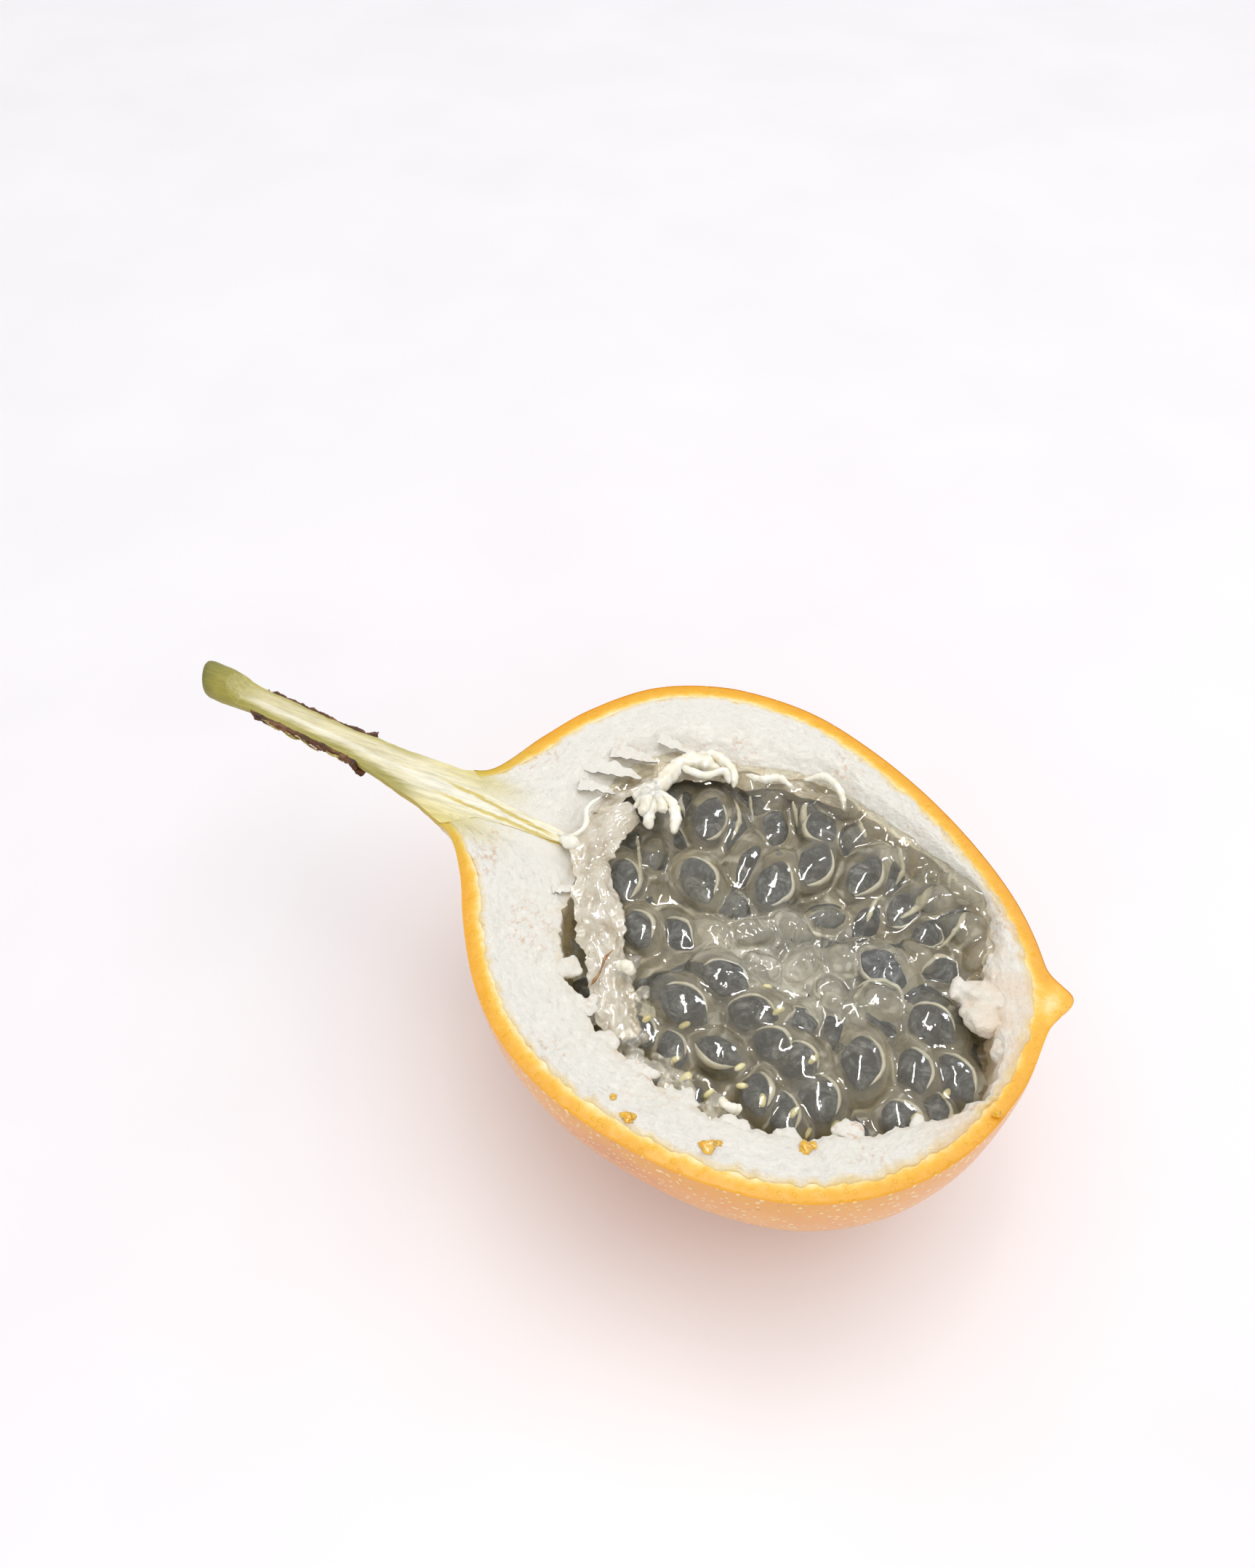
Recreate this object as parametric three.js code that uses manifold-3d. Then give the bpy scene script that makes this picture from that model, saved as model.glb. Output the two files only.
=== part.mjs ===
// Half of a sweet granadilla passion fruit, cut lengthwise and lying on its skin with the cut face up.
// Millimetres, +Z up, +X from the stalk to the blossom end. The origin is the middle of the small flat
// spot that the skin rests on.
import * as THREE from "three";
import { ParametricGeometry } from "three/addons/geometries/ParametricGeometry.js";
import { mergeVertices } from "three/addons/utils/BufferGeometryUtils.js";
import Module from "manifold-3d";

const wasm = await Module();
wasm.setup();

// Driving dimensions. Outlines are in the cut plane: x from the neck, y across, z up from the cut.
const REST_SPOT = { x: 40, y: -2.4, sink: 0.35 }; // where the skin touches the table, and how much it flattens
const FRUIT_DEPTH = 33; // cut plane to the lowest point of the skin
const CLEARANCE = 0.3; // between pieces that touch
const ABOVE_CUT = 3.6; // how far bodies run on above the cut plane before they are cut
const SKIN = { neck: 1.1, side: 2.0, neckEnd: 0.12 }; // thickness, and the neck's share of the length
const PITH_STARTS = 2; // the neck is rind only up to here
const RIM_FAR = [
  [-2, 4], [1.2, 5.4], [5, 13.3], [8.5, 19.7], [15, 26.9], [23, 30.5], [30, 31.2], [37, 30.4],
  [45, 27.4], [53, 23], [61, 17], [67.5, 10.4], [71.6, 4], [73.4, -0.6], [73.8, -3],
];
const RIM_NEAR = [
  [-2, -4.6], [1.2, -6], [5.2, -10.8], [9, -17.2], [14, -24], [20, -29.2], [28, -33], [37, -34.9],
  [46, -35.3], [55, -33.6], [63, -29], [69, -22], [72.7, -13], [73.6, -7], [73.8, -3],
];
const KEEL = [
  [-2, -4.2], [1.2, -5.6], [5, -12], [9, -18.5], [14.5, -24.6], [21, -29], [30, -32.1], [41, -FRUIT_DEPTH],
  [52, -31.6], [61, -27.2], [68, -19.5], [72.3, -10], [73.6, -4.4], [73.8, 0],
];
// The sections end a little short of the tip, where the curves run together.
const LAST_SECTION = { skinOutside: 0.985, skinInside: 0.95, pithOutside: 0.945 };
// The beak at the blossom end: its outline in the cut plane, how deep it goes and how round its edges are.
const BEAK = {
  outline: [
    [68, 2.4], [72.1, 2.3], [73.6, 2.1], [75.3, 0.9], [75.6, 0.1], [74.9, -1.6], [74, -4.6], [71, -7], [68, -7],
  ],
  depth: 2.6,
  edge: 0.8,
};

const CAVITY_CENTRE = [44, -4];
const CAVITY_OUTLINE = [
  [17, -1.5], [16, 5], [17.5, 12], [22, 17.6], [31, 18.6], [41, 20], [50, 16.6], [58, 13.6],
  [64.5, 8], [66, 0], [69, -7], [69.3, -14.5], [63.5, -20.5], [54, -26], [45, -27.8], [35, -26],
  [26, -21.5], [20, -14], [18.4, -7.5],
];
const CAVITY_DEPTH = 24;
const CAVITY_WALL = 0.7; // share of the cavity's rings that make its floor and wall; the rest close its top

const STALK_CENTRE = [
  [-42, 5.3], [-38, 4.9], [-30, 3.9], [-22, 2.9], [-15, 2], [-10, 1.1], [-5, 0.35], [-2, -0.3],
  [2, -0.5], [8, -0.8], [15.6, -1.4],
];
// Half the width at places along the stalk, and along the conducting strand that runs on into the fruit.
const STALK_RADIUS = [
  [-42, 2.35], [-38, 2.45], [-33.5, 2], [-17, 2.05], [-14.6, 2.5], [-10, 2.85], [-5, 3.5], [-2.3, 4.1],
];
const STRAND_RADIUS = [[-4, 2.7], [-1.5, 2.7], [2, 1.75], [8, 1.1], [13, 0.85], [15.6, 0.3]];
const STALK_END = -42;
const SHOULDER = -2.3; // where the stalk meets the rind
const KNIFE = { leaves: -34, clears: -37.6, rise: 3.2 }; // where the cut runs out of the stalk's top
const BARK = { from: -33.2, to: -15.4, thickness: 0.6, collar: 0.55, collarLength: 1.6, above: 0.2 };

// The film runs between two directions from the cavity's centre, in degrees.
const MEMBRANE = { from: 165, to: 236, inset: 3.1, thickness: 0.8, top: 0.4, bottom: -12, sag: 4.5, wave: 0.7 };
const THREAD_RIDGE = [[19.2, 7.6, -0.9], [21, 11.5, -0.3], [24, 14.6, 0], [28.2, 16.4, -0.3]];
const THREADS = [
  { root: 0.12, reach: [24.6, 6.2], radius: 0.95 },
  { root: 0.3, reach: [26.4, 7.8], radius: 0.8 },
  { root: 0.52, reach: [25.4, 10.2], radius: 0.85 },
  { root: 0.78, reach: [27.8, 12.8], radius: 0.65 },
  { root: 0.96, reach: [31.2, 15.2], radius: 0.6 },
];
const THREAD_RADIUS = 0.95;
const THREAD_RISE = 0.7; // how far a thread arches above the cut
const THREAD_TIP = { z: -0.2, swell: 2.3 }; // the knob at a thread's end

const PULP = { top: -3.4, crown: 1.2 }; // the pulp's level, and how far it swells in the middle
const ARIL = { length: 12, width: 7.8, height: 6.2 };
const SEED = { length: 6.2, width: 4.3, height: 3, lift: 1.9 }; // the seed's swelling in the top of its sac
// Rings of seed sacs from the wall inwards: share of the way out from the centre, number in the ring.
const SAC_RINGS = [
  { share: 0.82, count: 15, lower: 1.7 },
  { share: 0.54, count: 10, lower: 0.5 },
  { share: 0.24, count: 4, lower: 0.3 },
];
const SAC_JITTER = { around: 14, out: 0.08, height: 1.1, heading: 50, dip: 24, roll: 70 };
const RANDOM_SEED = 7;

// A small repeatable random generator.
function randomFrom(seed) {
  let state = seed >>> 0;
  return () => {
    state = (Math.imul(state, 1664525) + 1013904223) >>> 0;
    return state / 4294967296;
  };
}

// Solids from three.js geometries, and back.
function solidOf(geometry) {
  const bare = geometry.index ? geometry.toNonIndexed() : geometry.clone();
  bare.deleteAttribute("normal");
  bare.deleteAttribute("uv");
  const merged = mergeVertices(bare, 1e-4);
  const index = merged.index.array;
  const corners = [];
  for (let i = 0; i < index.length; i += 3) {
    const [a, b, c] = [index[i], index[i + 1], index[i + 2]];
    if (a !== b && b !== c && a !== c) corners.push(a, b, c);
  }
  const build = () =>
    new wasm.Manifold(
      new wasm.Mesh({
        numProp: 3,
        vertProperties: merged.attributes.position.array,
        triVerts: new Uint32Array(corners),
      }),
    );
  const made = build();
  if (made.volume() > 0) return made;
  for (let i = 0; i < corners.length; i += 3) {
    [corners[i + 1], corners[i + 2]] = [corners[i + 2], corners[i + 1]];
  }
  return build();
}

function geometryOf(solid) {
  const mesh = solid.getMesh();
  const position = new Float32Array(mesh.numVert * 3);
  for (let i = 0; i < mesh.numVert; i++) {
    position.set(mesh.vertProperties.subarray(i * mesh.numProp, i * mesh.numProp + 3), i * 3);
  }
  const geometry = new THREE.BufferGeometry();
  geometry.setAttribute("position", new THREE.BufferAttribute(position, 3));
  geometry.setIndex(new THREE.BufferAttribute(new Uint32Array(mesh.triVerts), 1));
  geometry.computeVertexNormals();
  return geometry;
}

const unite = (solids) => solids.reduce((all, one) => all.add(one));
const largestBody = (solid) => solid.decompose().reduce((a, b) => (a.volume() > b.volume() ? a : b));

function boxSolid(low, high) {
  const box = new THREE.BoxGeometry(high[0] - low[0], high[1] - low[1], high[2] - low[2]);
  box.translate((low[0] + high[0]) / 2, (low[1] + high[1]) / 2, (low[2] + high[2]) / 2);
  return solidOf(box);
}

// A closed body through rings of points, from a function of the way along (0 to 1) and the place in the
// ring. Both ends close to a point.
function loftSolid(ringPoint, stations, around) {
  const middle = (t) => {
    const sum = new THREE.Vector3();
    for (let k = 0; k < around; k++) sum.add(ringPoint(t, k));
    return sum.divideScalar(around);
  };
  const surface = (u, v, target) => {
    const station = Math.round(u * (stations + 1));
    const k = Math.round(v * around) % around;
    if (station === 0) return target.copy(middle(0));
    if (station === stations + 1) return target.copy(middle(1));
    return target.copy(ringPoint((station - 1) / (stations - 1), k));
  };
  return solidOf(new ParametricGeometry(surface, stations + 1, around));
}

// Piecewise linear look-up in a list of [place, value].
function valueAt(list, place) {
  const after = list.findIndex(([at]) => at >= place);
  if (after === 0) return list[0][1];
  if (after < 0) return list[list.length - 1][1];
  const [x0, y0] = list[after - 1];
  const [x1, y1] = list[after];
  return y0 + ((y1 - y0) * (place - x0)) / (x1 - x0);
}

const inPlane = (points) => points.map(([x, y]) => new THREE.Vector3(x, y, 0));
const upright = (points) => points.map(([x, z]) => new THREE.Vector3(x, 0, z));

// The fruit's outer surface: half-ellipse sections through the far rim, the keel and the near rim.
const farRim = new THREE.CatmullRomCurve3(inPlane(RIM_FAR), false, "centripetal");
const nearRim = new THREE.CatmullRomCurve3(inPlane(RIM_NEAR), false, "centripetal");
const keel = new THREE.CatmullRomCurve3(upright(KEEL), false, "centripetal");

function fruitPoint(t, angle) {
  const far = farRim.getPointAt(t);
  const near = nearRim.getPointAt(t);
  const low = keel.getPointAt(t);
  const centre = far.clone().add(near).multiplyScalar(0.5);
  low.y = centre.y;
  return centre
    .clone()
    .addScaledVector(far.clone().sub(centre), Math.cos(angle))
    .addScaledVector(low.clone().sub(centre), Math.sin(angle));
}

function fruitNormal(t, angle) {
  const step = 0.004;
  const t0 = Math.min(Math.max(t, step), 1 - 3 * step);
  const along = fruitPoint(t0 + step, angle).sub(fruitPoint(t0 - step, angle));
  const across = fruitPoint(t0, angle + step).sub(fruitPoint(t0, angle - step));
  return along.cross(across).normalize();
}

const skinThickness = (t) =>
  SKIN.neck + (SKIN.side - SKIN.neck) * THREE.MathUtils.smoothstep(t, 0.02, SKIN.neckEnd);

// The fruit's outer form, taken in by a depth that may change along it. It runs on above the cut plane.
function fruitBody(depthAt, lastSection, stations, arc) {
  const sectionPoint = (share, k) => {
    const t = lastSection * share;
    const angle = (Math.PI * Math.min(k, arc)) / arc;
    const point = fruitPoint(t, angle).addScaledVector(fruitNormal(t, angle), -depthAt(t));
    if (k === 0 || k === arc) point.z = ABOVE_CUT / 2;
    if (k > arc) point.lerp(sectionPoint(share, 0), (k - arc) / 3).setZ(ABOVE_CUT);
    return point;
  };
  return loftSolid(sectionPoint, stations, arc + 3);
}

// The seed cavity: a bowl under a closed outline round a centre.
const cavityCurve = new THREE.CatmullRomCurve3(inPlane(CAVITY_OUTLINE), true, "centripetal");
const cavityRing = cavityCurve.getSpacedPoints(240).map((p) => {
  const [dx, dy] = [p.x - CAVITY_CENTRE[0], p.y - CAVITY_CENTRE[1]];
  return [(THREE.MathUtils.radToDeg(Math.atan2(dy, dx)) + 360) % 360, Math.hypot(dx, dy)];
}).sort((a, b) => a[0] - b[0]);

const cavityReach = (degrees) => {
  const wrapped = ((degrees % 360) + 360) % 360;
  return valueAt(cavityRing, wrapped);
};

function cavityPoint(degrees, share, z) {
  const reach = cavityReach(degrees) * share;
  const angle = THREE.MathUtils.degToRad(degrees);
  return new THREE.Vector3(
    CAVITY_CENTRE[0] + reach * Math.cos(angle),
    CAVITY_CENTRE[1] + reach * Math.sin(angle),
    z,
  );
}

// A bowl that fills the cavity, taken in by a clearance, from its floor up to a level top.
function cavityBody(takenIn, top, crown, levels, around) {
  const floor = -(CAVITY_DEPTH - takenIn);
  const ringPoint = (t, k) => {
    const degrees = (360 * k) / around;
    const reach = cavityReach(degrees);
    const wall = (reach - takenIn) / reach;
    if (t <= CAVITY_WALL) {
      const climb = (Math.PI / 2) * THREE.MathUtils.clamp(t / CAVITY_WALL, 0.03, 0.99);
      return cavityPoint(degrees, wall * Math.sin(climb), Math.min(floor * Math.cos(climb), top - 0.2));
    }
    const outwards = (1.01 - t) / (1.01 - CAVITY_WALL);
    return cavityPoint(degrees, wall * outwards, top + crown * (1 - outwards ** 2));
  };
  return loftSolid(ringPoint, levels, around);
}

// A tube along points, as one closed solid.
function tubeSolid(points, radius, sides, steps) {
  const extrudePath = new THREE.CatmullRomCurve3(points.map((point) => new THREE.Vector3(...point)));
  const corner = (_, k) => {
    const angle = (2 * Math.PI * k) / sides;
    return new THREE.Vector2(radius * Math.cos(angle), radius * Math.sin(angle));
  };
  const section = new THREE.Shape(Array.from({ length: sides }, corner));
  return solidOf(new THREE.ExtrudeGeometry(section, { steps, extrudePath, bevelEnabled: false }));
}

function ellipsoidSolid(size, place, turn, columns, rows) {
  const ball = new THREE.SphereGeometry(0.5, columns, rows).scale(...size);
  ball.applyQuaternion(new THREE.Quaternion().setFromEuler(turn));
  return solidOf(ball.translate(...place));
}

const belowCut = boxSolid([-60, -60, -FRUIT_DEPTH + REST_SPOT.sink], [100, 60, 0]);

// A round body along the stalk's centre line, from a list of radii.
function stemBody(radii, grow, from, to, stations, around) {
  const ringPoint = (t, k) => {
    const x = from + (to - from) * t;
    const angle = (2 * Math.PI * (k + 0.5)) / around;
    const radius = valueAt(radii, x) + grow;
    return new THREE.Vector3(x, valueAt(STALK_CENTRE, x) + radius * Math.cos(angle), radius * Math.sin(angle));
  };
  return loftSolid(ringPoint, stations, around);
}

const strandBody = (grow) => stemBody(STRAND_RADIUS, grow, -4, STRAND_RADIUS.at(-1)[0] + grow, 14, 10);

// The stalk, round outside and split along the cut, with its strand running on into the fruit.
function makeStalk() {
  const outside = stemBody(STALK_RADIUS, 0, STALK_END, SHOULDER, 22, 14).add(strandBody(0));
  const [beyond, height, depth] = [30, 2 * KNIFE.rise, 40];
  const profile = [
    [KNIFE.clears, KNIFE.rise], [KNIFE.leaves, 0], [beyond, 0], [beyond, height], [KNIFE.clears, height],
  ];
  const section = new THREE.Shape(profile.map(([x, z]) => new THREE.Vector2(x, z)));
  const knife = new THREE.ExtrudeGeometry(section, { depth, bevelEnabled: false });
  knife.rotateX(Math.PI / 2).translate(0, depth / 2, 0);
  return outside.subtract(solidOf(knife));
}

function makeBeak() {
  const outline = new THREE.Shape(BEAK.outline.map(([x, y]) => new THREE.Vector2(x, y)));
  const edge = { bevelThickness: BEAK.edge, bevelSize: BEAK.edge, bevelOffset: -BEAK.edge, bevelSegments: 2 };
  const beak = new THREE.ExtrudeGeometry(outline, { depth: BEAK.depth, ...edge });
  return solidOf(beak.translate(0, 0, BEAK.edge - BEAK.depth));
}

function makeSkin() {
  const outside = fruitBody(() => 0, LAST_SECTION.skinOutside, 32, 17).add(makeBeak());
  const inside = fruitBody(skinThickness, LAST_SECTION.skinInside, 26, 14);
  return largestBody(outside.subtract(inside).subtract(strandBody(CLEARANCE)).intersect(belowCut));
}

function makePith() {
  const outside = fruitBody((t) => skinThickness(t) + CLEARANCE, LAST_SECTION.pithOutside, 26, 14);
  const neck = boxSolid([-10, -20, -40], [PITH_STARTS, 20, 10]);
  const hollows = [neck, strandBody(CLEARANCE), cavityBody(0, ABOVE_CUT, 0, 11, 36)];
  return largestBody(outside.subtract(unite(hollows)).intersect(belowCut));
}

// Dry bark left round the underside of the stalk, flared where it has come loose.
function makeBark() {
  const outside = CLEARANCE + BARK.thickness;
  const radii = [
    ...STALK_RADIUS.filter(([x]) => x < BARK.to - BARK.collarLength),
    [BARK.to - BARK.collarLength, valueAt(STALK_RADIUS, BARK.to - BARK.collarLength)],
    [BARK.to, valueAt(STALK_RADIUS, BARK.to) + BARK.collar],
  ];
  const sleeve = stemBody(radii, outside, BARK.from, BARK.to, 10, 14);
  const bore = stemBody(STALK_RADIUS, CLEARANCE, BARK.from - 3, BARK.to + 3, 10, 14);
  return largestBody(sleeve.subtract(bore).intersect(boxSolid([-50, -20, -20], [0, 20, BARK.above])));
}

// The torn film that lines the cavity: a curved sheet that hangs beside the wall at the stalk end.
function membraneBody(inner, outer, top, bottom, spread) {
  const rows = 6;
  const ringPoint = (t, k) => {
    const degrees = THREE.MathUtils.lerp(MEMBRANE.from - spread, MEMBRANE.to + spread, t);
    const onInner = k < rows;
    const row = onInner ? k : 2 * rows - 1 - k;
    const z = THREE.MathUtils.lerp(top, bottom, row / (rows - 1));
    const down = THREE.MathUtils.clamp((MEMBRANE.top - z) / (MEMBRANE.top - MEMBRANE.bottom), 0, 1);
    const sag = MEMBRANE.sag * down ** 2 - MEMBRANE.wave * Math.sin(degrees / 7) * (1 - down);
    const reach = cavityReach(degrees) - (onInner ? inner : outer) - sag;
    return cavityPoint(degrees, reach / cavityReach(degrees), z);
  };
  return loftSolid(ringPoint, 12, 2 * rows);
}

function makeMembrane() {
  const { inset, thickness, top, bottom } = MEMBRANE;
  return membraneBody(inset + thickness, inset, top, bottom, 0);
}

// White threads that held the seeds to the wall, left on a ridge near the stalk.
function threadBody(grow) {
  const ridge = new THREE.CatmullRomCurve3(THREAD_RIDGE.map((p) => new THREE.Vector3(...p)));
  const pieces = [tubeSolid(THREAD_RIDGE, THREAD_RADIUS + grow, 6, 7)];
  THREADS.forEach(({ root, reach, radius }, i) => {
    const start = ridge.getPointAt(root);
    const tip = new THREE.Vector3(...reach, THREAD_TIP.z);
    const sway = i % 2 ? 0.9 : -0.7;
    const arch = start.clone().lerp(tip, 0.5).add(new THREE.Vector3(sway, sway / 2, 0)).setZ(THREAD_RISE);
    const knob = new Array(3).fill(THREAD_TIP.swell * (radius + grow));
    pieces.push(tubeSolid([start, arch, tip], radius + grow, 6, 4));
    pieces.push(ellipsoidSolid(knob, tip, new THREE.Euler(), 6, 4));
  });
  return unite(pieces);
}

// Where each seed sac lies: rings that follow the wall, each sac pointing from the wall to the centre.
function sacPlaces() {
  const random = randomFrom(RANDOM_SEED);
  const jitter = (range) => range * (random() - 0.5);
  const places = [];
  SAC_RINGS.forEach(({ share, count, lower }, ring) => {
    for (let i = 0; i < count; i++) {
      const degrees = (360 * (i + 0.5 * ring)) / count + jitter(SAC_JITTER.around);
      const out = share + jitter(SAC_JITTER.out);
      const level = PULP.top + PULP.crown * (1 - out ** 2) - lower + jitter(SAC_JITTER.height);
      const heading = degrees + 180 + jitter(SAC_JITTER.heading);
      const [dip, roll] = [jitter(SAC_JITTER.dip) + 4, jitter(SAC_JITTER.roll)];
      places.push({ point: cavityPoint(degrees, out, level), heading, dip, roll });
    }
  });
  return places;
}

// The pulp: a core that fills the cavity, with seed sacs on it that each swell over their seed.
function makePulp() {
  const core = cavityBody(CLEARANCE, PULP.top, PULP.crown, 10, 30);
  const degree = THREE.MathUtils.degToRad;
  const sacs = sacPlaces().flatMap(({ point, heading, dip, roll }) => {
    const turn = new THREE.Euler(degree(roll), degree(dip), degree(heading), "ZYX");
    const lifted = point.clone().setZ(point.z + SEED.lift);
    return [
      ellipsoidSolid([ARIL.length, ARIL.width, ARIL.height], point, turn, 8, 5),
      ellipsoidSolid([SEED.length, SEED.width, SEED.height], lifted, turn, 6, 4),
    ];
  });
  const room = cavityBody(CLEARANCE, ABOVE_CUT, 0, 11, 36);
  const { inset, thickness, bottom } = MEMBRANE;
  const behindFilm = membraneBody(inset + thickness + 2.5 * CLEARANCE, -4, ABOVE_CUT + 2, bottom - 1, 3);
  const pulp = unite([core, ...sacs]).intersect(room).subtract(behindFilm).subtract(threadBody(CLEARANCE));
  return largestBody(pulp);
}

const part = new THREE.Group();
const fruit = new THREE.Group();
fruit.position.set(-REST_SPOT.x, -REST_SPOT.y, FRUIT_DEPTH - REST_SPOT.sink);
part.add(fruit);

function addPiece(name, solid, color, roughness) {
  const material = new THREE.MeshStandardMaterial({ color, roughness, metalness: 0 });
  const mesh = new THREE.Mesh(geometryOf(solid), material);
  mesh.name = name;
  fruit.add(mesh);
}

addPiece("skin", makeSkin(), "#e58a1f", 0.42);
addPiece("pith", makePith(), "#f6ead2", 0.85);
addPiece("pulp", makePulp(), "#8d8c76", 0.12);
addPiece("membrane", makeMembrane(), "#c9c5b4", 0.35);
addPiece("seed_threads", threadBody(0), "#efe6c8", 0.55);
addPiece("stalk", makeStalk(), "#a3a03c", 0.6);
addPiece("bark_sleeve", makeBark(), "#5d3d28", 0.9);

export default part;
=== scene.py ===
"""Half of a sweet granadilla passion fruit, lying on its rind with the cut face up.

Measured points are in millimetres of the cut plane: x from the neck to the blossom end, y across to
the far side, z up from the cut. to_frame() turns them into the model's own metres.
"""

import math
import random

import bmesh
import bpy
from mathutils import Matrix, Vector, noise


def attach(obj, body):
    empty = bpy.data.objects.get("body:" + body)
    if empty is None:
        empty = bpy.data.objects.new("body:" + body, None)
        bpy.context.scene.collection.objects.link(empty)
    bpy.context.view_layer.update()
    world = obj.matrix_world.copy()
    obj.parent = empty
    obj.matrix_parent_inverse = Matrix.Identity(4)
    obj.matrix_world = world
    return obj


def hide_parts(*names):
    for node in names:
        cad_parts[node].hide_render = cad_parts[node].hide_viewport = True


bl_info = {
    "name": "Cut sweet granadilla",
    "version": (1, 0, 0),
    "blender": (4, 5, 0),
    "location": "View3D > Sidebar > Granadilla",
    "description": "Dresses the half of a sweet granadilla over its solid frame",
    "category": "Add Mesh",
}

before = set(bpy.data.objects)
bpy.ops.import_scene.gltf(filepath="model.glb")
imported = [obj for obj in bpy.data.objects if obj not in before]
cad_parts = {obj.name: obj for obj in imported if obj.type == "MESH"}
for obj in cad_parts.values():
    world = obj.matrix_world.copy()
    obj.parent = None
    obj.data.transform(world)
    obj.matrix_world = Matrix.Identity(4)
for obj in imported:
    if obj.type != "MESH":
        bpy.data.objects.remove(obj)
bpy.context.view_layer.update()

MM = 0.001
RANDOM_SEED = 11

# The model's origin, on the floor, is under this spot of the cut plane, and the cut is this high over it
REST_SPOT = (40.0, -2.4)
CUT_HEIGHT = 32.65
# The rind's outline on the cut plane, x and y, and its lowest line, x and z
RIM_FAR = [
    (-2, 4), (1.2, 5.4), (5, 13.3), (8.5, 19.7), (15, 26.9), (23, 30.5), (30, 31.2), (37, 30.4),
    (45, 27.4), (53, 23), (61, 17), (67.5, 10.4), (71.6, 4), (73.4, -0.6), (73.8, -3),
]
RIM_NEAR = [
    (-2, -4.6), (1.2, -6), (5.2, -10.8), (9, -17.2), (14, -24), (20, -29.2), (28, -33), (37, -34.9),
    (46, -35.3), (55, -33.6), (63, -29), (69, -22), (72.7, -13), (73.6, -7), (73.8, -3),
]
KEEL = [
    (-2, -4.2), (1.2, -5.6), (5, -12), (9, -18.5), (14.5, -24.6), (21, -29), (30, -32.1), (41, -33),
    (52, -31.6), (61, -27.2), (68, -19.5), (72.3, -10), (73.6, -4.4), (73.8, 0),
]
# Thickness of the rind at the neck and elsewhere
SKIN_NECK = 1.1
SKIN_SIDE = 2.3
# Where the pith ends in the beak
PITH_TIP = (71.5, -3.2)
# The beak's place, how far it sticks out, and its half widths to the far side, the near side and down
BEAK = {"x": 72.6, "y": 0.3, "reach": 2.5, "above": 1.5, "below": 3.0, "deep": 2.6}

CAVITY_CENTRE = Vector((44, -4))
CAVITY_DEPTH = 24
CAVITY_OUTLINE = [
    (17, -1.5), (16, 5), (17.5, 12), (22, 17.6), (31, 18.9), (41, 20.4), (50, 16.6), (58, 13.6),
    (64.5, 8), (66, 0), (69, -7), (69.3, -14.5), (63.5, -20.5), (54, -26), (45, -27.8), (35, -26),
    (26, -21.5), (20, -14), (18.4, -7.5),
]

# The stalk's middle line, x and y, and its radius over x
STALK_LINE = [
    (-42, 5.3), (-38, 4.9), (-30, 3.9), (-22, 2.9), (-15, 2), (-10, 1.1), (-5, 0.35), (-2, -0.3),
    (2, -0.5), (8, -0.8), (15.6, -1.4),
]
STALK_RADIUS = [
    (-42, 1.9), (-41.7, 2.3), (-41, 2.45), (-38, 2.45), (-33.5, 2), (-17, 2.05), (-14.6, 2.5),
    (-10, 2.85), (-5, 3.5), (-2.2, 4.2), (-0.6, 4.75), (0.8, 3.6), (3, 1.9), (8, 1.35), (13, 1.0),
    (15.6, 0.4),
]
# The stalk is split level as far as the place where the knife starts to leave it
KNIFE_LEVEL = 0.2
KNIFE_LEAVES = -35.4
KNIFE_CLEARS = -38.4
KNIFE_RISE = 3.2
BARK_FROM = -33.0
BARK_TO = -15.1
# The strand that runs on from the stalk into the pith lies on y = -(slope x + offset)
STRAND_SLOPE = 0.123
STRAND_OFFSET = 0.13

# Film that lines the cavity: x, y and z of its middle line, and half its width
FILM_LINE = [
    (20.6, 6.8, -0.6, 1.2), (19.2, 4.2, 0.0, 2.2), (18.2, 1.4, 0.2, 2.6), (18.4, -2.0, 0.1, 2.2),
    (20.4, -5.6, -0.2, 2.6), (22.4, -9.0, -0.6, 2.8), (24.6, -12.6, -1.1, 2.4), (26.8, -16.0, -1.6, 2.3),
    (28.9, -19.2, -2.1, 2.6), (31.0, -22.4, -2.6, 2.0),
]
LINING_LINE = [
    (15.9, 4.6, -1.0, 0.9), (17.0, 8.2, -1.5, 1.6), (19.2, 12.0, -1.7, 2.0), (22.4, 15.4, -1.8, 1.9),
    (26.6, 17.6, -2.0, 1.4), (31.5, 18.0, -2.2, 1.2), (38.0, 19.6, -2.3, 1.2), (45.0, 18.6, -2.5, 0.8),
]
# Clear crumbs that the film tears into beside the near wall: x, y, how many, spread
CRUMBS = [
    (27.6, -14.0, 10, 1.3), (29.4, -18.0, 22, 1.6), (31.0, -22.0, 26, 1.6), (34.6, -24.0, 22, 1.5),
    (38.8, -25.2, 18, 1.3), (43.0, -26.0, 12, 1.1), (26.4, -20.6, 8, 1.0), (20.6, 14.6, 6, 1.2),
]
# Torn shreds of the pith over the cavity: where each starts and ends, and its width
SHREDS = [
    ((11.8, 11.0), (19.4, 11.9), 2.6), ((14.2, 14.2), (20.2, 15.2), 2.2),
    ((12.6, 7.4), (17.2, 8.2), 1.8), ((19.0, 18.6), (24.0, 18.2), 1.8),
    ((16.4, -8.8), (19.2, -7.0), 1.4),
]
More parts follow.
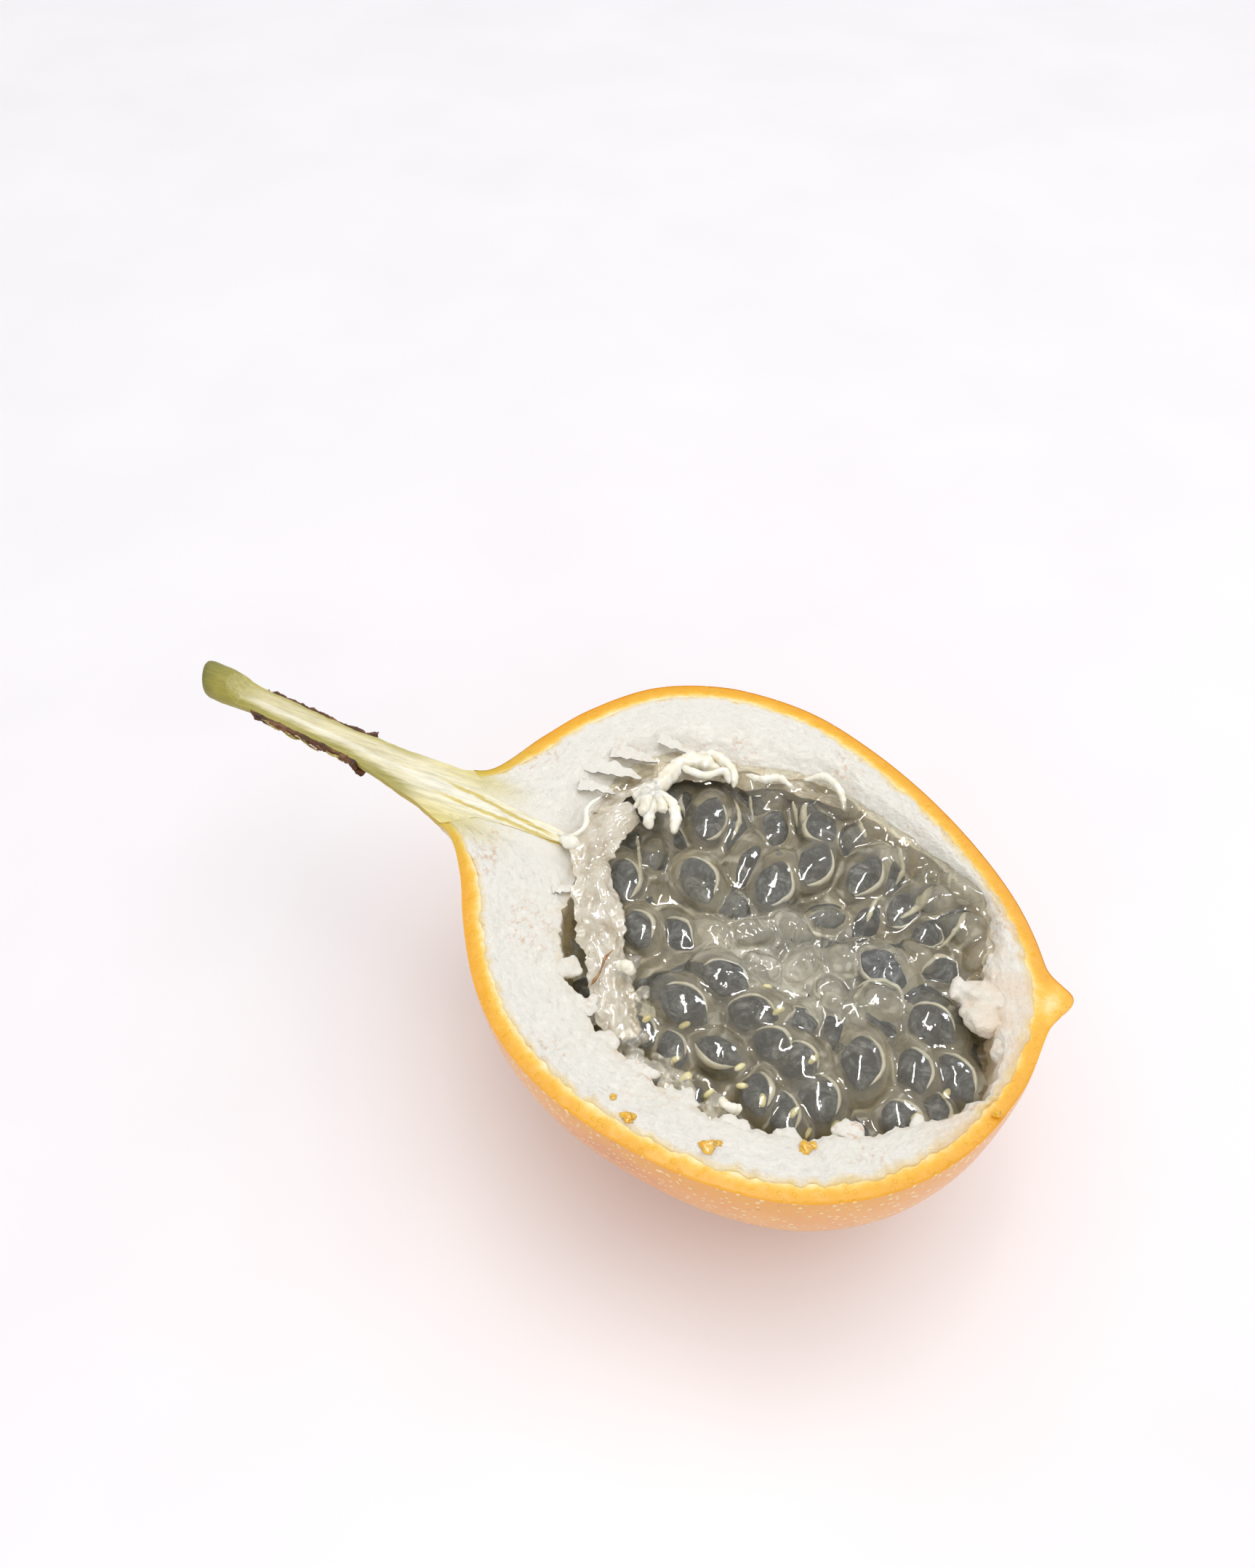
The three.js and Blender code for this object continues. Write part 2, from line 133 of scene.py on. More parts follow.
# Crumbly pith that bulges into the cavity at the blossom end and along the near wall:
# x, y, z, length, width, height
SPONGE = [
    (66.6, -2.4, -1.0, 6.4, 3.6, 2.6), (64.2, -2.6, -1.5, 2.6, 2.4, 1.8),
    (67.2, -5.6, -1.0, 4.6, 3.6, 2.4), (68.4, 0.4, -0.9, 4.2, 2.8, 2.0),
    (70.0, -8.2, -0.9, 2.6, 4.0, 1.8), (65.6, -4.6, -1.6, 2.2, 1.8, 1.4),
    (67.4, 2.8, -1.3, 2.6, 2.2, 1.8), (22.6, -17.4, -0.6, 2.2, 2.4, 1.0),
    (25.6, -21.0, -0.7, 2.4, 2.0, 1.1), (29.6, -24.0, -0.7, 2.8, 1.8, 1.2),
    (34.6, -26.0, -0.8, 3.0, 1.6, 1.2), (39.6, -27.2, -0.7, 2.8, 1.6, 1.1),
    (45.4, -28.2, -0.7, 2.8, 1.6, 1.1), (51.4, -27.0, -0.8, 2.8, 1.4, 1.2),
    (57.4, -24.2, -0.7, 2.6, 1.4, 1.1), (63.8, -20.6, -0.8, 2.2, 1.4, 1.0),
]
# Chips of rind on the cut face: x, y, size
CHIPS = [
    (35.8, -31.9, 1.0), (44.4, -31.6, 1.3), (45.3, -31.0, 0.7), (53.6, -27.8, 1.2), (70.6, -16.8, 0.6),
    (33.4, -30.4, 0.5),
]

# Threads that tied the seeds to the wall: points of each, and its radius before THREAD_SHARE thins it
THREADS = [
    ([(28.6, 16.6, -0.8), (25.6, 16.8, 0.2), (23.2, 15.2, 0.4), (22.6, 12.2, 0.5), (21.6, 9.4, 0.3)], 1.25),
    ([(20.4, 6.6, -0.2), (21.2, 8.2, 0.5), (22.9, 9.0, 0.9), (24.6, 8.5, 0.9), (25.9, 6.8, 0.5),
      (26.5, 4.6, 0)], 0.9),
    ([(20.6, 9.9, -0.2), (21.6, 8.0, 0.7), (22.0, 6.6, 0.6), (21.8, 5.6, 0.1)], 1.15),
    ([(22.0, 9.6, 0.2), (23.4, 8.0, 1.2), (24.4, 6.8, 0.6)], 0.9),
    ([(19.9, 8.0, -0.4), (20.8, 9.4, 0.5), (22.4, 10.6, 0.4)], 0.9),
    ([(22.2, 8.9, 0.3), (22.9, 7.2, 0.8), (22.8, 5.6, 0.3), (23.5, 4.4, -0.3)], 0.8),
    ([(23.2, 15.1, 0.3), (25.2, 14.2, 0.9), (27.1, 14.5, 0.7), (28.9, 16.2, 0.4), (30, 15.2, -0.4)], 0.6),
    ([(24.4, 18.4, -0.5), (26.8, 18.2, 0.5), (28.9, 17.6, 0.4), (30.2, 16.4, -0.2), (30.6, 15, -0.8)], 0.7),
    ([(31.2, 17.8, -0.9), (33.6, 17.2, -0.1), (35.6, 18.4, -0.3), (37.8, 17.9, -0.9)], 0.55),
    ([(38.4, 19.6, -0.6), (41.2, 20.4, 0.2), (43.6, 18.8, -0.2), (44.6, 17.1, -1.2)], 0.6),
    ([(27.2, -14.8, -0.9), (28.6, -14.9, -0.2), (29.4, -15.3, -0.9)], 0.75),
    ([(46, -25.6, -1.8), (44.6, -26.1, -0.9), (43.6, -25.4, -1.5)], 0.8),
]
THREAD_SHARE = 0.84
# Torn ends of the strand in the pith, and the brown scar where the film meets the near wall
FIBRE_HOOK = [(13.4, -1.0, 0.3), (15.4, -1.2, 1.0), (16.6, 0.6, 1.5), (15.8, 2.8, 1.9), (16.7, 5.2, 2.1)]
FIBRE_STUB = [(14.2, -1.4, 0.1), (15.6, -1.9, 0.7), (16.9, -1.9, 0.5)]
SCAR_LINE = [(26.3, -13.6, 0.1), (25.9, -15.0, 0.1), (26.0, -16.8, -0.2), (25.6, -18.4, -0.9)]

# Seeds that show: x, y, long axis in degrees, length, width, depth under the gel, roll, side of the
# painted-light crescent
SEEDS = [
    (29.0, 10.8, 98, 6.8, 3.8, 0.0, 12, -1), (42.4, 14.8, 118, 5.6, 3.6, 0.3, 10, 1),
    (43.4, 9.1, 84, 6.8, 3.7, 0.1, 8, -1), (39.8, 4.4, 90, 6.9, 4.0, 0.0, 5, -1),
    (49.7, 9.7, 77, 7.0, 3.5, 0.0, -10, -1), (55.5, 7.5, 64, 6.4, 3.6, 0.9, 10, -1),
    (58.8, 5.2, 68, 5.6, 2.8, 1.0, 20, -1), (55.3, -2.3, -24, 6.3, 3.5, 0.0, 8, -1),
    (62.2, -6.6, -25, 6.0, 4.2, 0.3, 12, 1), (66.2, -11.6, -43, 6.2, 3.4, 0.1, 6, 1),
    (61.8, -12.6, -60, 5.4, 3.4, 0.8, -8, 1), (56.2, -14.6, -76, 6.8, 4.1, 0.1, 4, 1),
    (31.2, 1.4, -46, 6.8, 3.9, 0.1, 6, 1), (22.6, -1.6, -63, 6.5, 3.6, 0.5, 14, 1),
    (27.0, -7.4, -45, 5.0, 3.2, 0.6, 20, 1), (39.0, -10.6, -7, 6.3, 4.0, 0.0, -8, 1),
    (43.3, -13.3, 10, 6.1, 3.8, 0.3, 10, 1), (35.9, -15.5, -22, 6.8, 4.0, 0.0, 5, 1),
    (46.6, -15.9, -14, 5.0, 3.4, 0.6, 20, 1), (41.3, -19.1, -8, 5.6, 3.2, 0.7, -12, -1),
    (48.3, -11.9, 30, 4.4, 3.2, 1.6, 15, 1), (49.9, -17.0, -38, 5.2, 3.8, 0.5, 15, 1),
    (53.1, -20.0, -52, 6.0, 4.0, 0.2, 8, 1), (50.2, -22.8, -58, 5.2, 3.2, 0.5, 25, 1),
    (47.0, -21.8, -70, 4.8, 3.0, 0.7, 35, 1), (62.2, -18.6, -38, 5.4, 3.8, 0.5, 10, 1),
    (32.4, -19.4, -30, 4.6, 3.0, 0.9, 30, 1), (36.4, -20.2, -50, 4.6, 3.0, 0.9, 30, 1),
    (65.0, -15.6, -60, 5.0, 3.4, 1.3, 20, 1), (36.8, 13.3, 105, 6.2, 3.2, 1.1, 62, -1),
    (35.9, 6.1, 92, 7.2, 3.4, 0.8, 66, -1), (32.6, 10.8, 104, 6.2, 3.2, 1.2, 64, -1),
    (51.5, 3.9, 80, 6.2, 3.2, 1.4, 60, -1), (52.9, 11.5, 100, 6.4, 3.2, 1.1, 58, -1),
    (31.5, -6.0, -30, 5.6, 3.6, 2.0, 20, 1), (40.4, 16.9, 110, 5.4, 3.0, 1.5, 60, 1),
    (61.4, 1.4, 30, 5.4, 3.4, 1.7, 40, 1), (25.6, 13.0, 130, 5.2, 3.2, 1.9, 40, 1),
]
# Yellow ends of the threads on the sacs along the near wall: x, y, direction
SAC_TIPS = [
    (32.6, -18.6, 60), (36.8, -18.0, 50), (37.2, -22, 55), (38.9, -23.6, 60), (42, -24.1, 60),
    (45.1, -22.2, 15), (47.6, -22.9, -70), (51.1, -22.9, 75), (51.2, -16.8, 65), (55.5, -22.4, 80),
    (53.1, -24.2, 80), (58.1, -21.9, 70), (63.2, -18.1, 60), (65.6, -14.2, 70), (43.6, -10.2, 40),
    (45.8, -12.6, 55), (44.1, -20.4, 50),
]
# Sacs without a seed that shows: x, y, height over the gel's level, heading, length, width, how milky
EMPTY_SACS = [
    (55.8, -6.9, -1.2, 20, 5.4, 4.6, 0.95), (53.9, -9.6, -1.4, -60, 4.4, 3.0, 0.8),
    (61.7, 10.8, -0.5, -10, 5.0, 3.0, 0.7), (63.4, 5.6, -0.9, 30, 3.6, 2.6, 0.95),
    (57.0, 10.2, -0.9, 70, 5.6, 3.2, 0.8), (30.6, -0.4, -1.5, 30, 4.2, 3.2, 0.5),
    (35.4, -5.6, -1.2, -30, 5.4, 3.4, 0.7), (40.0, -3.4, -1.0, 40, 5.2, 3.0, 0.75),
    (43.6, -1.0, -1.2, -20, 4.8, 3.2, 0.6), (46.6, -5.4, -1.0, 70, 5.6, 3.0, 0.7),
    (50.4, -3.0, -1.1, 10, 5.0, 3.4, 0.65), (42.2, -7.4, -1.2, 0, 4.2, 2.6, 0.7),
    (50.6, -8.2, -1.2, -50, 4.6, 3.0, 0.75), (47.0, 1.6, -1.0, 30, 4.6, 2.8, 0.7),
    (36.4, -0.6, -1.3, 80, 4.2, 3.0, 0.6), (58.6, 0.8, -1.1, -30, 4.6, 3.0, 0.7),
    (24.6, 2.6, -1.2, 100, 5.0, 3.0, 0.6), (35.2, 15.6, -1.0, 60, 4.6, 3.0, 0.6),
    (59.6, 9.4, -0.3, 40, 7.4, 3.4, 0.85), (62.4, 6.6, -0.6, 20, 5.6, 2.8, 0.8),
    (65.2, 3.4, -0.6, 64, 4.6, 2.6, 0.8), (47.6, 14.8, -0.7, 46, 6.0, 3.2, 0.65),
    (53.2, 12.9, -0.5, 10, 6.4, 3.0, 0.8), (56.6, 12.0, -0.8, 76, 3.8, 2.4, 0.75),
    (43.6, 18.0, -0.7, 170, 5.2, 2.8, 0.65), (66.4, -0.6, -0.9, 88, 5.0, 2.8, 0.7),
    (38.2, 18.4, -0.8, 12, 6.0, 2.4, 0.6), (32.4, 17.2, -0.8, 140, 4.4, 2.8, 0.6),
    (60.8, 11.0, -0.2, -20, 5.6, 2.6, 0.8),
]
# Pale streaks where a sac's side is seen edge on: x and y of each point
STREAKS = [
    [(52.2, 15.1), (53.6, 12.5), (53.2, 9.6)], [(52.2, 8.2), (51.7, 6.1), (51.6, 3.6)],
    [(57.9, 14.6), (59.3, 13.0), (59.7, 11.2)], [(62.5, 8.6), (61.6, 5.8), (60.2, 2.8)],
    [(63.5, 12.0), (62.1, 10.3), (60.4, 10.2)], [(53.2, -5.4), (55.0, -4.0), (57.4, -3.9), (58.7, -6.3)],
    [(58.1, 10.7), (57.1, 8.3), (55.1, 5.7)], [(54.6, -4.3), (53.5, -6.5), (53.7, -9.1)],
    [(30.6, 15.3), (32.5, 12.1), (32.8, 8.9)], [(32.6, 16.7), (34.3, 12.8)],
    [(37.8, 18.0), (40.0, 14.4)], [(21.4, 5.2), (23.1, 2.1), (24.3, -1.9)], [(46.3, 18.0), (48.0, 15.4)],
    [(35.2, -7.9), (36.3, -5.6), (38.1, -6.2)], [(44.0, 1.0), (46.4, -0.6), (49.0, 0.2)],
    [(38.4, -1.0), (40.8, -2.4)], [(48.4, -6.0), (49.6, -8.4)],
]
SEED_THICKNESS = 1.8
# The dark seeds are drawn at this share of the lengths and widths above
SEED_SHARE = (0.88, 0.9)
# How much wider a sac's skin is than its seed, and how deep the middle of the highest seeds lies
SAC_MARGIN = 1.7
SEED_COVER = 1.5
# The deeper seeds between them: how many places are tried, and how far apart seeds are at least
SEED_TRIES = 2600
SEED_CLEARANCE = 4.1
GEL_TOP = -1.9
# The clear jelly in the middle of the pulp
PULP_MIDDLE = (46.0, -4.5)
# What Blender gives a noise texture when nothing else is set
LACUNARITY = 2.0

# The camera of the photograph, from the perspective of the rim
CAMERA_PLACE = (57.94, -84.82, 120.93)
CAMERA_PITCH = 49.67
CAMERA_AZIMUTH = 22.77
CAMERA_FOCAL_PIXELS = 1726
FRAME_HEIGHT_PIXELS = 2156
SENSOR = 36


def to_frame(point):
    """A point of the cut plane's millimetres in the model's metres."""
    x, y, z = point
    return Vector(((x - REST_SPOT[0]) * MM, (y - REST_SPOT[1]) * MM, (z + CUT_HEIGHT) * MM))


class Guide:
    """A smooth line through a few measured points, read by its share of the length."""

    STEPS = 16

    def __init__(self, points, closed=False):
        points = [Vector(p) for p in points]
        line = []
        count = len(points)
        for i in range(count if closed else count - 1):
            line += self._span(points, i, closed)
        line.append(points[0].copy() if closed else points[-1].copy())
        self.line = line
        self.reach = [0.0]
        for a, b in zip(line, line[1:]):
            self.reach.append(self.reach[-1] + (b - a).length)

    def _span(self, points, i, closed):
        count = len(points)
        b, c = points[i], points[(i + 1) % count]
        a = points[i - 1] if closed or i > 0 else b * 2 - c
        d = points[(i + 2) % count] if closed or i + 2 < count else c * 2 - b
        gaps = [max((q - p).length, 1e-6) ** 0.5 for p, q in ((a, b), (b, c), (c, d))]
        start = ((b - a) / gaps[0] - (c - a) / (gaps[0] + gaps[1]) + (c - b) / gaps[1]) * gaps[1]
        end = ((c - b) / gaps[1] - (d - b) / (gaps[1] + gaps[2]) + (d - c) / gaps[2]) * gaps[1]
        span = []
        for k in range(self.STEPS):
            t = k / self.STEPS
            span.append(
                b * (2 * t**3 - 3 * t**2 + 1) + start * (t**3 - 2 * t**2 + t)
                + c * (3 * t**2 - 2 * t**3) + end * (t**3 - t**2)
            )
        return span

    def at(self, share):
        target = min(max(share, 0.0), 1.0) * self.reach[-1]
        low, high = 0, len(self.reach) - 1
        while high - low > 1:
            middle = (low + high) // 2
            if self.reach[middle] <= target:
                low = middle
            else:
                high = middle
        step = self.reach[high] - self.reach[low]
        return self.line[low].lerp(self.line[high], (target - self.reach[low]) / step if step else 0.0)


def look_up(table, place):
    """A value read from a list of (place, value), straight between its entries."""
    if place <= table[0][0]:
        return table[0][1]
    for (x0, y0), (x1, y1) in zip(table, table[1:]):
        if place <= x1:
            return y0 + (y1 - y0) * (place - x0) / (x1 - x0)
    return table[-1][1]


def soft_step(low, high, value):
    """0 before low and 1 past high, with a smooth rise between them."""
    t = min(max((value - low) / (high - low), 0.0), 1.0)
    return t * t * (3 - 2 * t)


def ripple(point, size, octaves=3):
    """Smooth noise from -1 to 1 whose lumps are about size millimetres across."""
    return noise.fractal(Vector(point) / size, 0.8, 2.0, octaves)


FAR = Guide([(x, y, 0) for x, y in RIM_FAR])
NEAR = Guide([(x, y, 0) for x, y in RIM_NEAR])
LOW = Guide([(x, 0, z) for x, z in KEEL])


def rind(share, angle):
    """A point of the rind's outside, on a half ellipse through the far rim, the keel and the near rim."""
    far, near, low = FAR.at(share), NEAR.at(share), LOW.at(share)
    centre = (far + near) / 2
    low.y = centre.y
    return centre + (far - centre) * math.cos(angle) + (low - centre) * math.sin(angle)


def rind_normal(share, angle):
    """Which way the rind faces at such a point."""
    step = 0.004
    middle = min(max(share, step), 1 - 3 * step)
    along = rind(middle + step, angle) - rind(middle - step, angle)
    across = rind(middle, angle + step) - rind(middle, angle - step)
    return along.cross(across).normalized()


def by_x(guide, axis):
    """A guide's height or offset as a table over x."""
    return [(point.x, point[axis]) for point in guide.line]


RIM_FAR_Y = by_x(FAR, 1)
RIM_NEAR_Y = by_x(NEAR, 1)
KEEL_Z = by_x(LOW, 2)


def inside_depth(x, y):
    """How deep the bowl is inside the rind at a spot of the cut face."""
    far, near, low = look_up(RIM_FAR_Y, x), look_up(RIM_NEAR_Y, x), look_up(KEEL_Z, x)
    half = max((far - near) / 2 - SKIN_SIDE, 0.1)
    side = (y - (far + near) / 2) / half
    return max(0.0, -low - SKIN_SIDE) * math.sqrt(max(0.0, 1 - side * side))


def skin_thickness(share):
    """Thickness of the rind along the fruit."""
    return SKIN_NECK + (SKIN_SIDE - SKIN_NECK) * soft_step(0.02, 0.12, share)


def beak(point):
    """How far the blossom end's beak pushes a point of the rind outwards."""
    if point.x < BEAK["x"] - 8:
        return 0.0
    off = point.y - BEAK["y"]
    width = BEAK["above"] if off > 0 else BEAK["below"]
    side = math.exp(-((off / width) ** 2)) * math.exp(-((point.z / BEAK["deep"]) ** 2))
    return BEAK["reach"] * side * soft_step(BEAK["x"] - 6, BEAK["x"] - 1, point.x)


class Reaches:
    """How far an outline lies from the cavity's centre, read by direction."""

    PER_DEGREE = 4

    def __init__(self, points):
        table = []
        for p in points:
            away = Vector((p[0], p[1])) - CAVITY_CENTRE
            table.append((math.degrees(math.atan2(away.y, away.x)) % 360, away.length))
        table.sort()
        first, last = table[0], table[-1]
        closed = [(last[0] - 360, last[1])] + table + [(first[0] + 360, first[1])]
        self.steps = [look_up(closed, k / self.PER_DEGREE) for k in range(360 * self.PER_DEGREE + 1)]

    def at(self, degrees):
        place = (degrees % 360) * self.PER_DEGREE
        k = int(place)
        after = self.steps[min(k + 1, len(self.steps) - 1)]
        return self.steps[k] + (after - self.steps[k]) * (place - k)


def inner_rim(steps=120, end=0.955):
    """The line on the cut face where the rind ends and the pith starts, up to near the beak."""
    points = []
    for side in (0.0, math.pi):
        for k in range(steps + 1):
            share = end * k / steps
            points.append(rind(share, side) - rind_normal(share, side) * skin_thickness(share))
    points.append(PITH_TIP)
    return points


CAVITY = Reaches(Guide([(x, y, 0) for x, y in CAVITY_OUTLINE], closed=True).line)
PITH_RIM = Reaches(inner_rim())


def from_centre(degrees, reach, z):
    """A point in a direction from the cavity's centre."""
    angle = math.radians(degrees)
    return Vector((CAVITY_CENTRE.x + reach * math.cos(angle), CAVITY_CENTRE.y + reach * math.sin(angle), z))


def direction_of(x, y):
    """In which direction a spot lies from the cavity's centre, and how far."""
    away = Vector((x, y)) - CAVITY_CENTRE
    return math.degrees(math.atan2(away.y, away.x)) % 360, away.length


def knife_height(x):
    """Height of the cut through the stalk."""
    return KNIFE_LEVEL + max(0.0, (KNIFE_LEAVES - x) / (KNIFE_LEAVES - KNIFE_CLEARS) * KNIFE_RISE)


def from_pulp_middle(x, y, length, width):
    """0 at the middle of the pulp, 1 on an oval round it with these half axes."""
    return ((x - PULP_MIDDLE[0]) / length) ** 2 + ((y - PULP_MIDDLE[1]) / width) ** 2


def farness(degrees):
    """1 on the cavity's far side, 0 on its near side."""
    return soft_step(-0.25, 0.55, math.sin(math.radians(degrees)))


def gel_level(x, y):
    """Height of the pulp's surface: it climbs the far wall a little and hangs back from the near one."""
    degrees, away = direction_of(x, y)
    share = away / CAVITY.at(degrees)
    far = farness(degrees)
    return GEL_TOP + 0.9 * far * soft_step(0.75, 1.0, share) - 1.9 * (1 - far) * soft_step(0.55, 1.0, share)


def strand_clear(x, y):
    """0 on the strand that runs from the stalk into the pith, 1 away from it."""
    off = abs(y + STRAND_SLOPE * x + STRAND_OFFSET)
    return max(soft_step(1.4, 4.0, off), soft_step(12.5, 16.5, x))


def shaped_grid(columns, rows, place, **marks):
    """A flat grid bent into shape: place(u, v) gives a corner's spot, and each mark its value there."""
    shape = bmesh.new()
    bmesh.ops.create_grid(shape, x_segments=columns, y_segments=rows, size=0.5)
    layers = {name: shape.verts.layers.float.new(name) for name in marks}
    for corner in shape.verts:
        u = min(max(corner.co.x + 0.5, 0.0), 1.0)
        v = min(max(corner.co.y + 0.5, 0.0), 1.0)
        for name, value in marks.items():
            corner[layers[name]] = value(u, v)
        corner.co = to_frame(place(u, v))
    bmesh.ops.remove_doubles(shape, verts=shape.verts, dist=0.001 * MM)
    bmesh.ops.recalc_face_normals(shape, faces=shape.faces)
    return shape


def lump(spot, size, wobble, subdivisions):
    """A small uneven lump; size is its length, width and height."""
    shape = bmesh.new()
    bmesh.ops.create_icosphere(shape, subdivisions=subdivisions, radius=0.5)
    for corner in shape.verts:
        corner.co *= 1 + wobble * ripple(corner.co * 3 + Vector(spot), 1.6, 3)
    bmesh.ops.scale(shape, verts=shape.verts, vec=Vector(size) * MM)
    bmesh.ops.translate(shape, verts=shape.verts, vec=to_frame(spot))
    return shape


def add_to(shape, other):
    """Put another bmesh into this one."""
    mesh = bpy.data.meshes.new("joining")
    other.to_mesh(mesh)
    other.free()
    shape.from_mesh(mesh)
    bpy.data.meshes.remove(mesh)


def finish_piece(shape, name, material, nodes=(), crisp=0):
    """Make the object of a bmesh, put it on the body and hide the solids that it stands for."""
    mesh = bpy.data.meshes.new(name)
    shape.to_mesh(mesh)
    shape.free()
    for face in mesh.polygons:
        face.use_smooth = True
    if crisp:
        mesh.set_sharp_from_angle(angle=math.radians(crisp))
    mesh.materials.append(material)
    piece = bpy.data.objects.new(name, mesh)
    bpy.context.collection.objects.link(piece)
    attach(piece, "root")
    if nodes:
        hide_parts(*nodes)
    return piece


def apply_modifiers(piece):
    """Turn a piece's modifiers into its mesh."""
    graph = bpy.context.evaluated_depsgraph_get()
    done = bpy.data.meshes.new_from_object(piece.evaluated_get(graph))
    piece.modifiers.clear()
    piece.data = done


def melt_together(piece, detail, rounds):
    """Join a piece's overlapping lumps under one skin, and smooth it a little."""
    join = piece.modifiers.new("join", "REMESH")
    join.mode = "VOXEL"
    join.voxel_size = detail
    join.use_smooth_shade = True
    smooth = piece.modifiers.new("smooth", "SMOOTH")
    smooth.factor = 0.5
    smooth.iterations = rounds
    apply_modifiers(piece)


def mark(mesh, name, value):
    """Give every corner of a mesh the same value for the material."""
    layer = mesh.attributes.new(name, "FLOAT", "POINT")
    layer.data.foreach_set("value", [value] * len(mesh.vertices))


def tube(points, radius, sides, steps, rough, blunt=0.25):
    """A soft round thread along points, uneven in thickness, with rounded ends."""
    line = Guide(points)

    def place(u, v):
        here = line.at(u)
        along = (line.at(u + 0.02) - line.at(u - 0.02)).normalized()
        across = along.cross(Vector((0, 0, 1)))
        across = across.normalized() if across.length > 0.01 else Vector((1, 0, 0))
        up = across.cross(along)
        end = math.sqrt(max(0.0, 1 - max(0.0, 1 - min(u, 1 - u) / blunt) ** 2))
        size = radius * end * (1 + rough * ripple(here + Vector((0, 0, 9 * radius)), 1.4))
        angle = 2 * math.pi * v
        around = across * math.cos(angle) + up * math.sin(angle)
        return here + around * size * (1 + rough * ripple(here + around * radius, 0.8, 2))

    return shaped_grid(steps, sides, place)


def colour(text):
    """An sRGB hex colour as linear red, green, blue and alpha."""
    parts = [int(text[i : i + 2], 16) / 255 for i in (1, 3, 5)]
    return (*[p / 12.92 if p <= 0.04045 else ((p + 0.055) / 1.055) ** 2.4 for p in parts], 1.0)


def add_node(tree, kind, *values, named=None, output=None, stops=(), **settings):
    """Add a node with its settings and links, and return its first output or the one that is asked for.

    Values, or the outputs that feed them, fill its inputs in order, or by name when they are in named.
    Stops are the places and hex colours of a colour ramp.
    """
    made = tree.nodes.new("ShaderNode" + kind)
    for key, value in settings.items():
        setattr(made, key, value)
    pairs = list(zip([socket for socket in made.inputs if socket.enabled], values))
    pairs += [(made.inputs[name], value) for name, value in (named or {}).items()]
    for socket, value in pairs:
        if isinstance(value, bpy.types.NodeSocket):
            tree.links.new(value, socket)
        else:
            socket.default_value = value
    for k, (place, text) in enumerate(stops):
        elements = made.color_ramp.elements
        element = elements[k] if k < len(elements) else elements.new(place)
        element.position = place
        element.color = colour(text)
    if output:
        return made.outputs[output]
    return next((socket for socket in made.outputs if socket.enabled), None)


def new_material(name):
    """A material with an empty node tree, and the Object coordinates that its patterns follow."""
    material = bpy.data.materials.new(name)
    material.use_nodes = True
    tree = material.node_tree
    tree.nodes.clear()
    return material, tree, add_node(tree, "TexCoord", output="Object")


def finish_material(tree, shader_inputs, height=None, depth_mm=0.1, strength=1.0):
    """The surface shader, with a bump whose height is depth_mm, joined to the output."""
    inputs = dict(shader_inputs)
    if height is not None:
        bump = {"Height": height, "Distance": depth_mm * MM, "Strength": strength}
        inputs["Normal"] = add_node(tree, "Bump", named=bump)
    add_node(tree, "OutputMaterial", named={"Surface": add_node(tree, "BsdfPrincipled", named=inputs)})


def fineness(size_mm):
    """The scale of a pattern whose lumps are size_mm across."""
    return 1 / (size_mm * MM)


def millimetres(tree, where):
    """X, Y and Z in the millimetres of the cut plane."""
    corner = (REST_SPOT[0], REST_SPOT[1], -CUT_HEIGHT)
    moved = add_node(tree, "VectorMath", where, (1 / MM, 1 / MM, 1 / MM), corner, operation="MULTIPLY_ADD")
    parts = add_node(tree, "SeparateXYZ", moved).node.outputs
    return parts["X"], parts["Y"], parts["Z"]


def strand_lines(tree, where):
    """Two thin lines beside the strand that meet inside the pith, the distance from its middle, and X."""
    x, y, _ = millimetres(tree, where)
    slant = add_node(tree, "Math", x, STRAND_SLOPE, STRAND_OFFSET, operation="MULTIPLY_ADD")
    side = add_node(tree, "Math", slant, y, operation="ADD")
    off = add_node(tree, "Math", side, operation="ABSOLUTE")
    fibres = add_node(tree, "TexNoise", where, fineness(2.5), 4, 0.55)
    fray = add_node(tree, "Math", fibres, 0.9, -0.45, operation="MULTIPLY_ADD")
    frayed = add_node(tree, "Math", off, fray, operation="ADD")
    apart = add_node(tree, "MapRange", x, -3.0, 14.0, 1.05, 0.35)
    past = add_node(tree, "Math", frayed, apart, operation="SUBTRACT")
    gap = add_node(tree, "Math", past, operation="ABSOLUTE")
    line = add_node(tree, "MapRange", gap, 0.42, 0.1, interpolation_type="SMOOTHSTEP")
    starts = add_node(tree, "MapRange", x, -6.0, 0.0, interpolation_type="SMOOTHSTEP")
    ends = add_node(tree, "MapRange", x, 15.5, 11.0, interpolation_type="SMOOTHSTEP")
    shown = add_node(tree, "Math", starts, ends, operation="MULTIPLY")
    return add_node(tree, "Math", line, shown, operation="MULTIPLY"), off, x


def stained(tree, base, tint, strength, *ranges):
    """Lay a tint over a colour where each value has passed from the first to the second of its range."""
    share = strength
    for value, first, second in ranges:
        passed = add_node(tree, "MapRange", value, first, second, interpolation_type="SMOOTHSTEP")
        share = add_node(tree, "Math", passed, share, operation="MULTIPLY")
    return add_node(tree, "Mix", share, base, tint, data_type="RGBA")


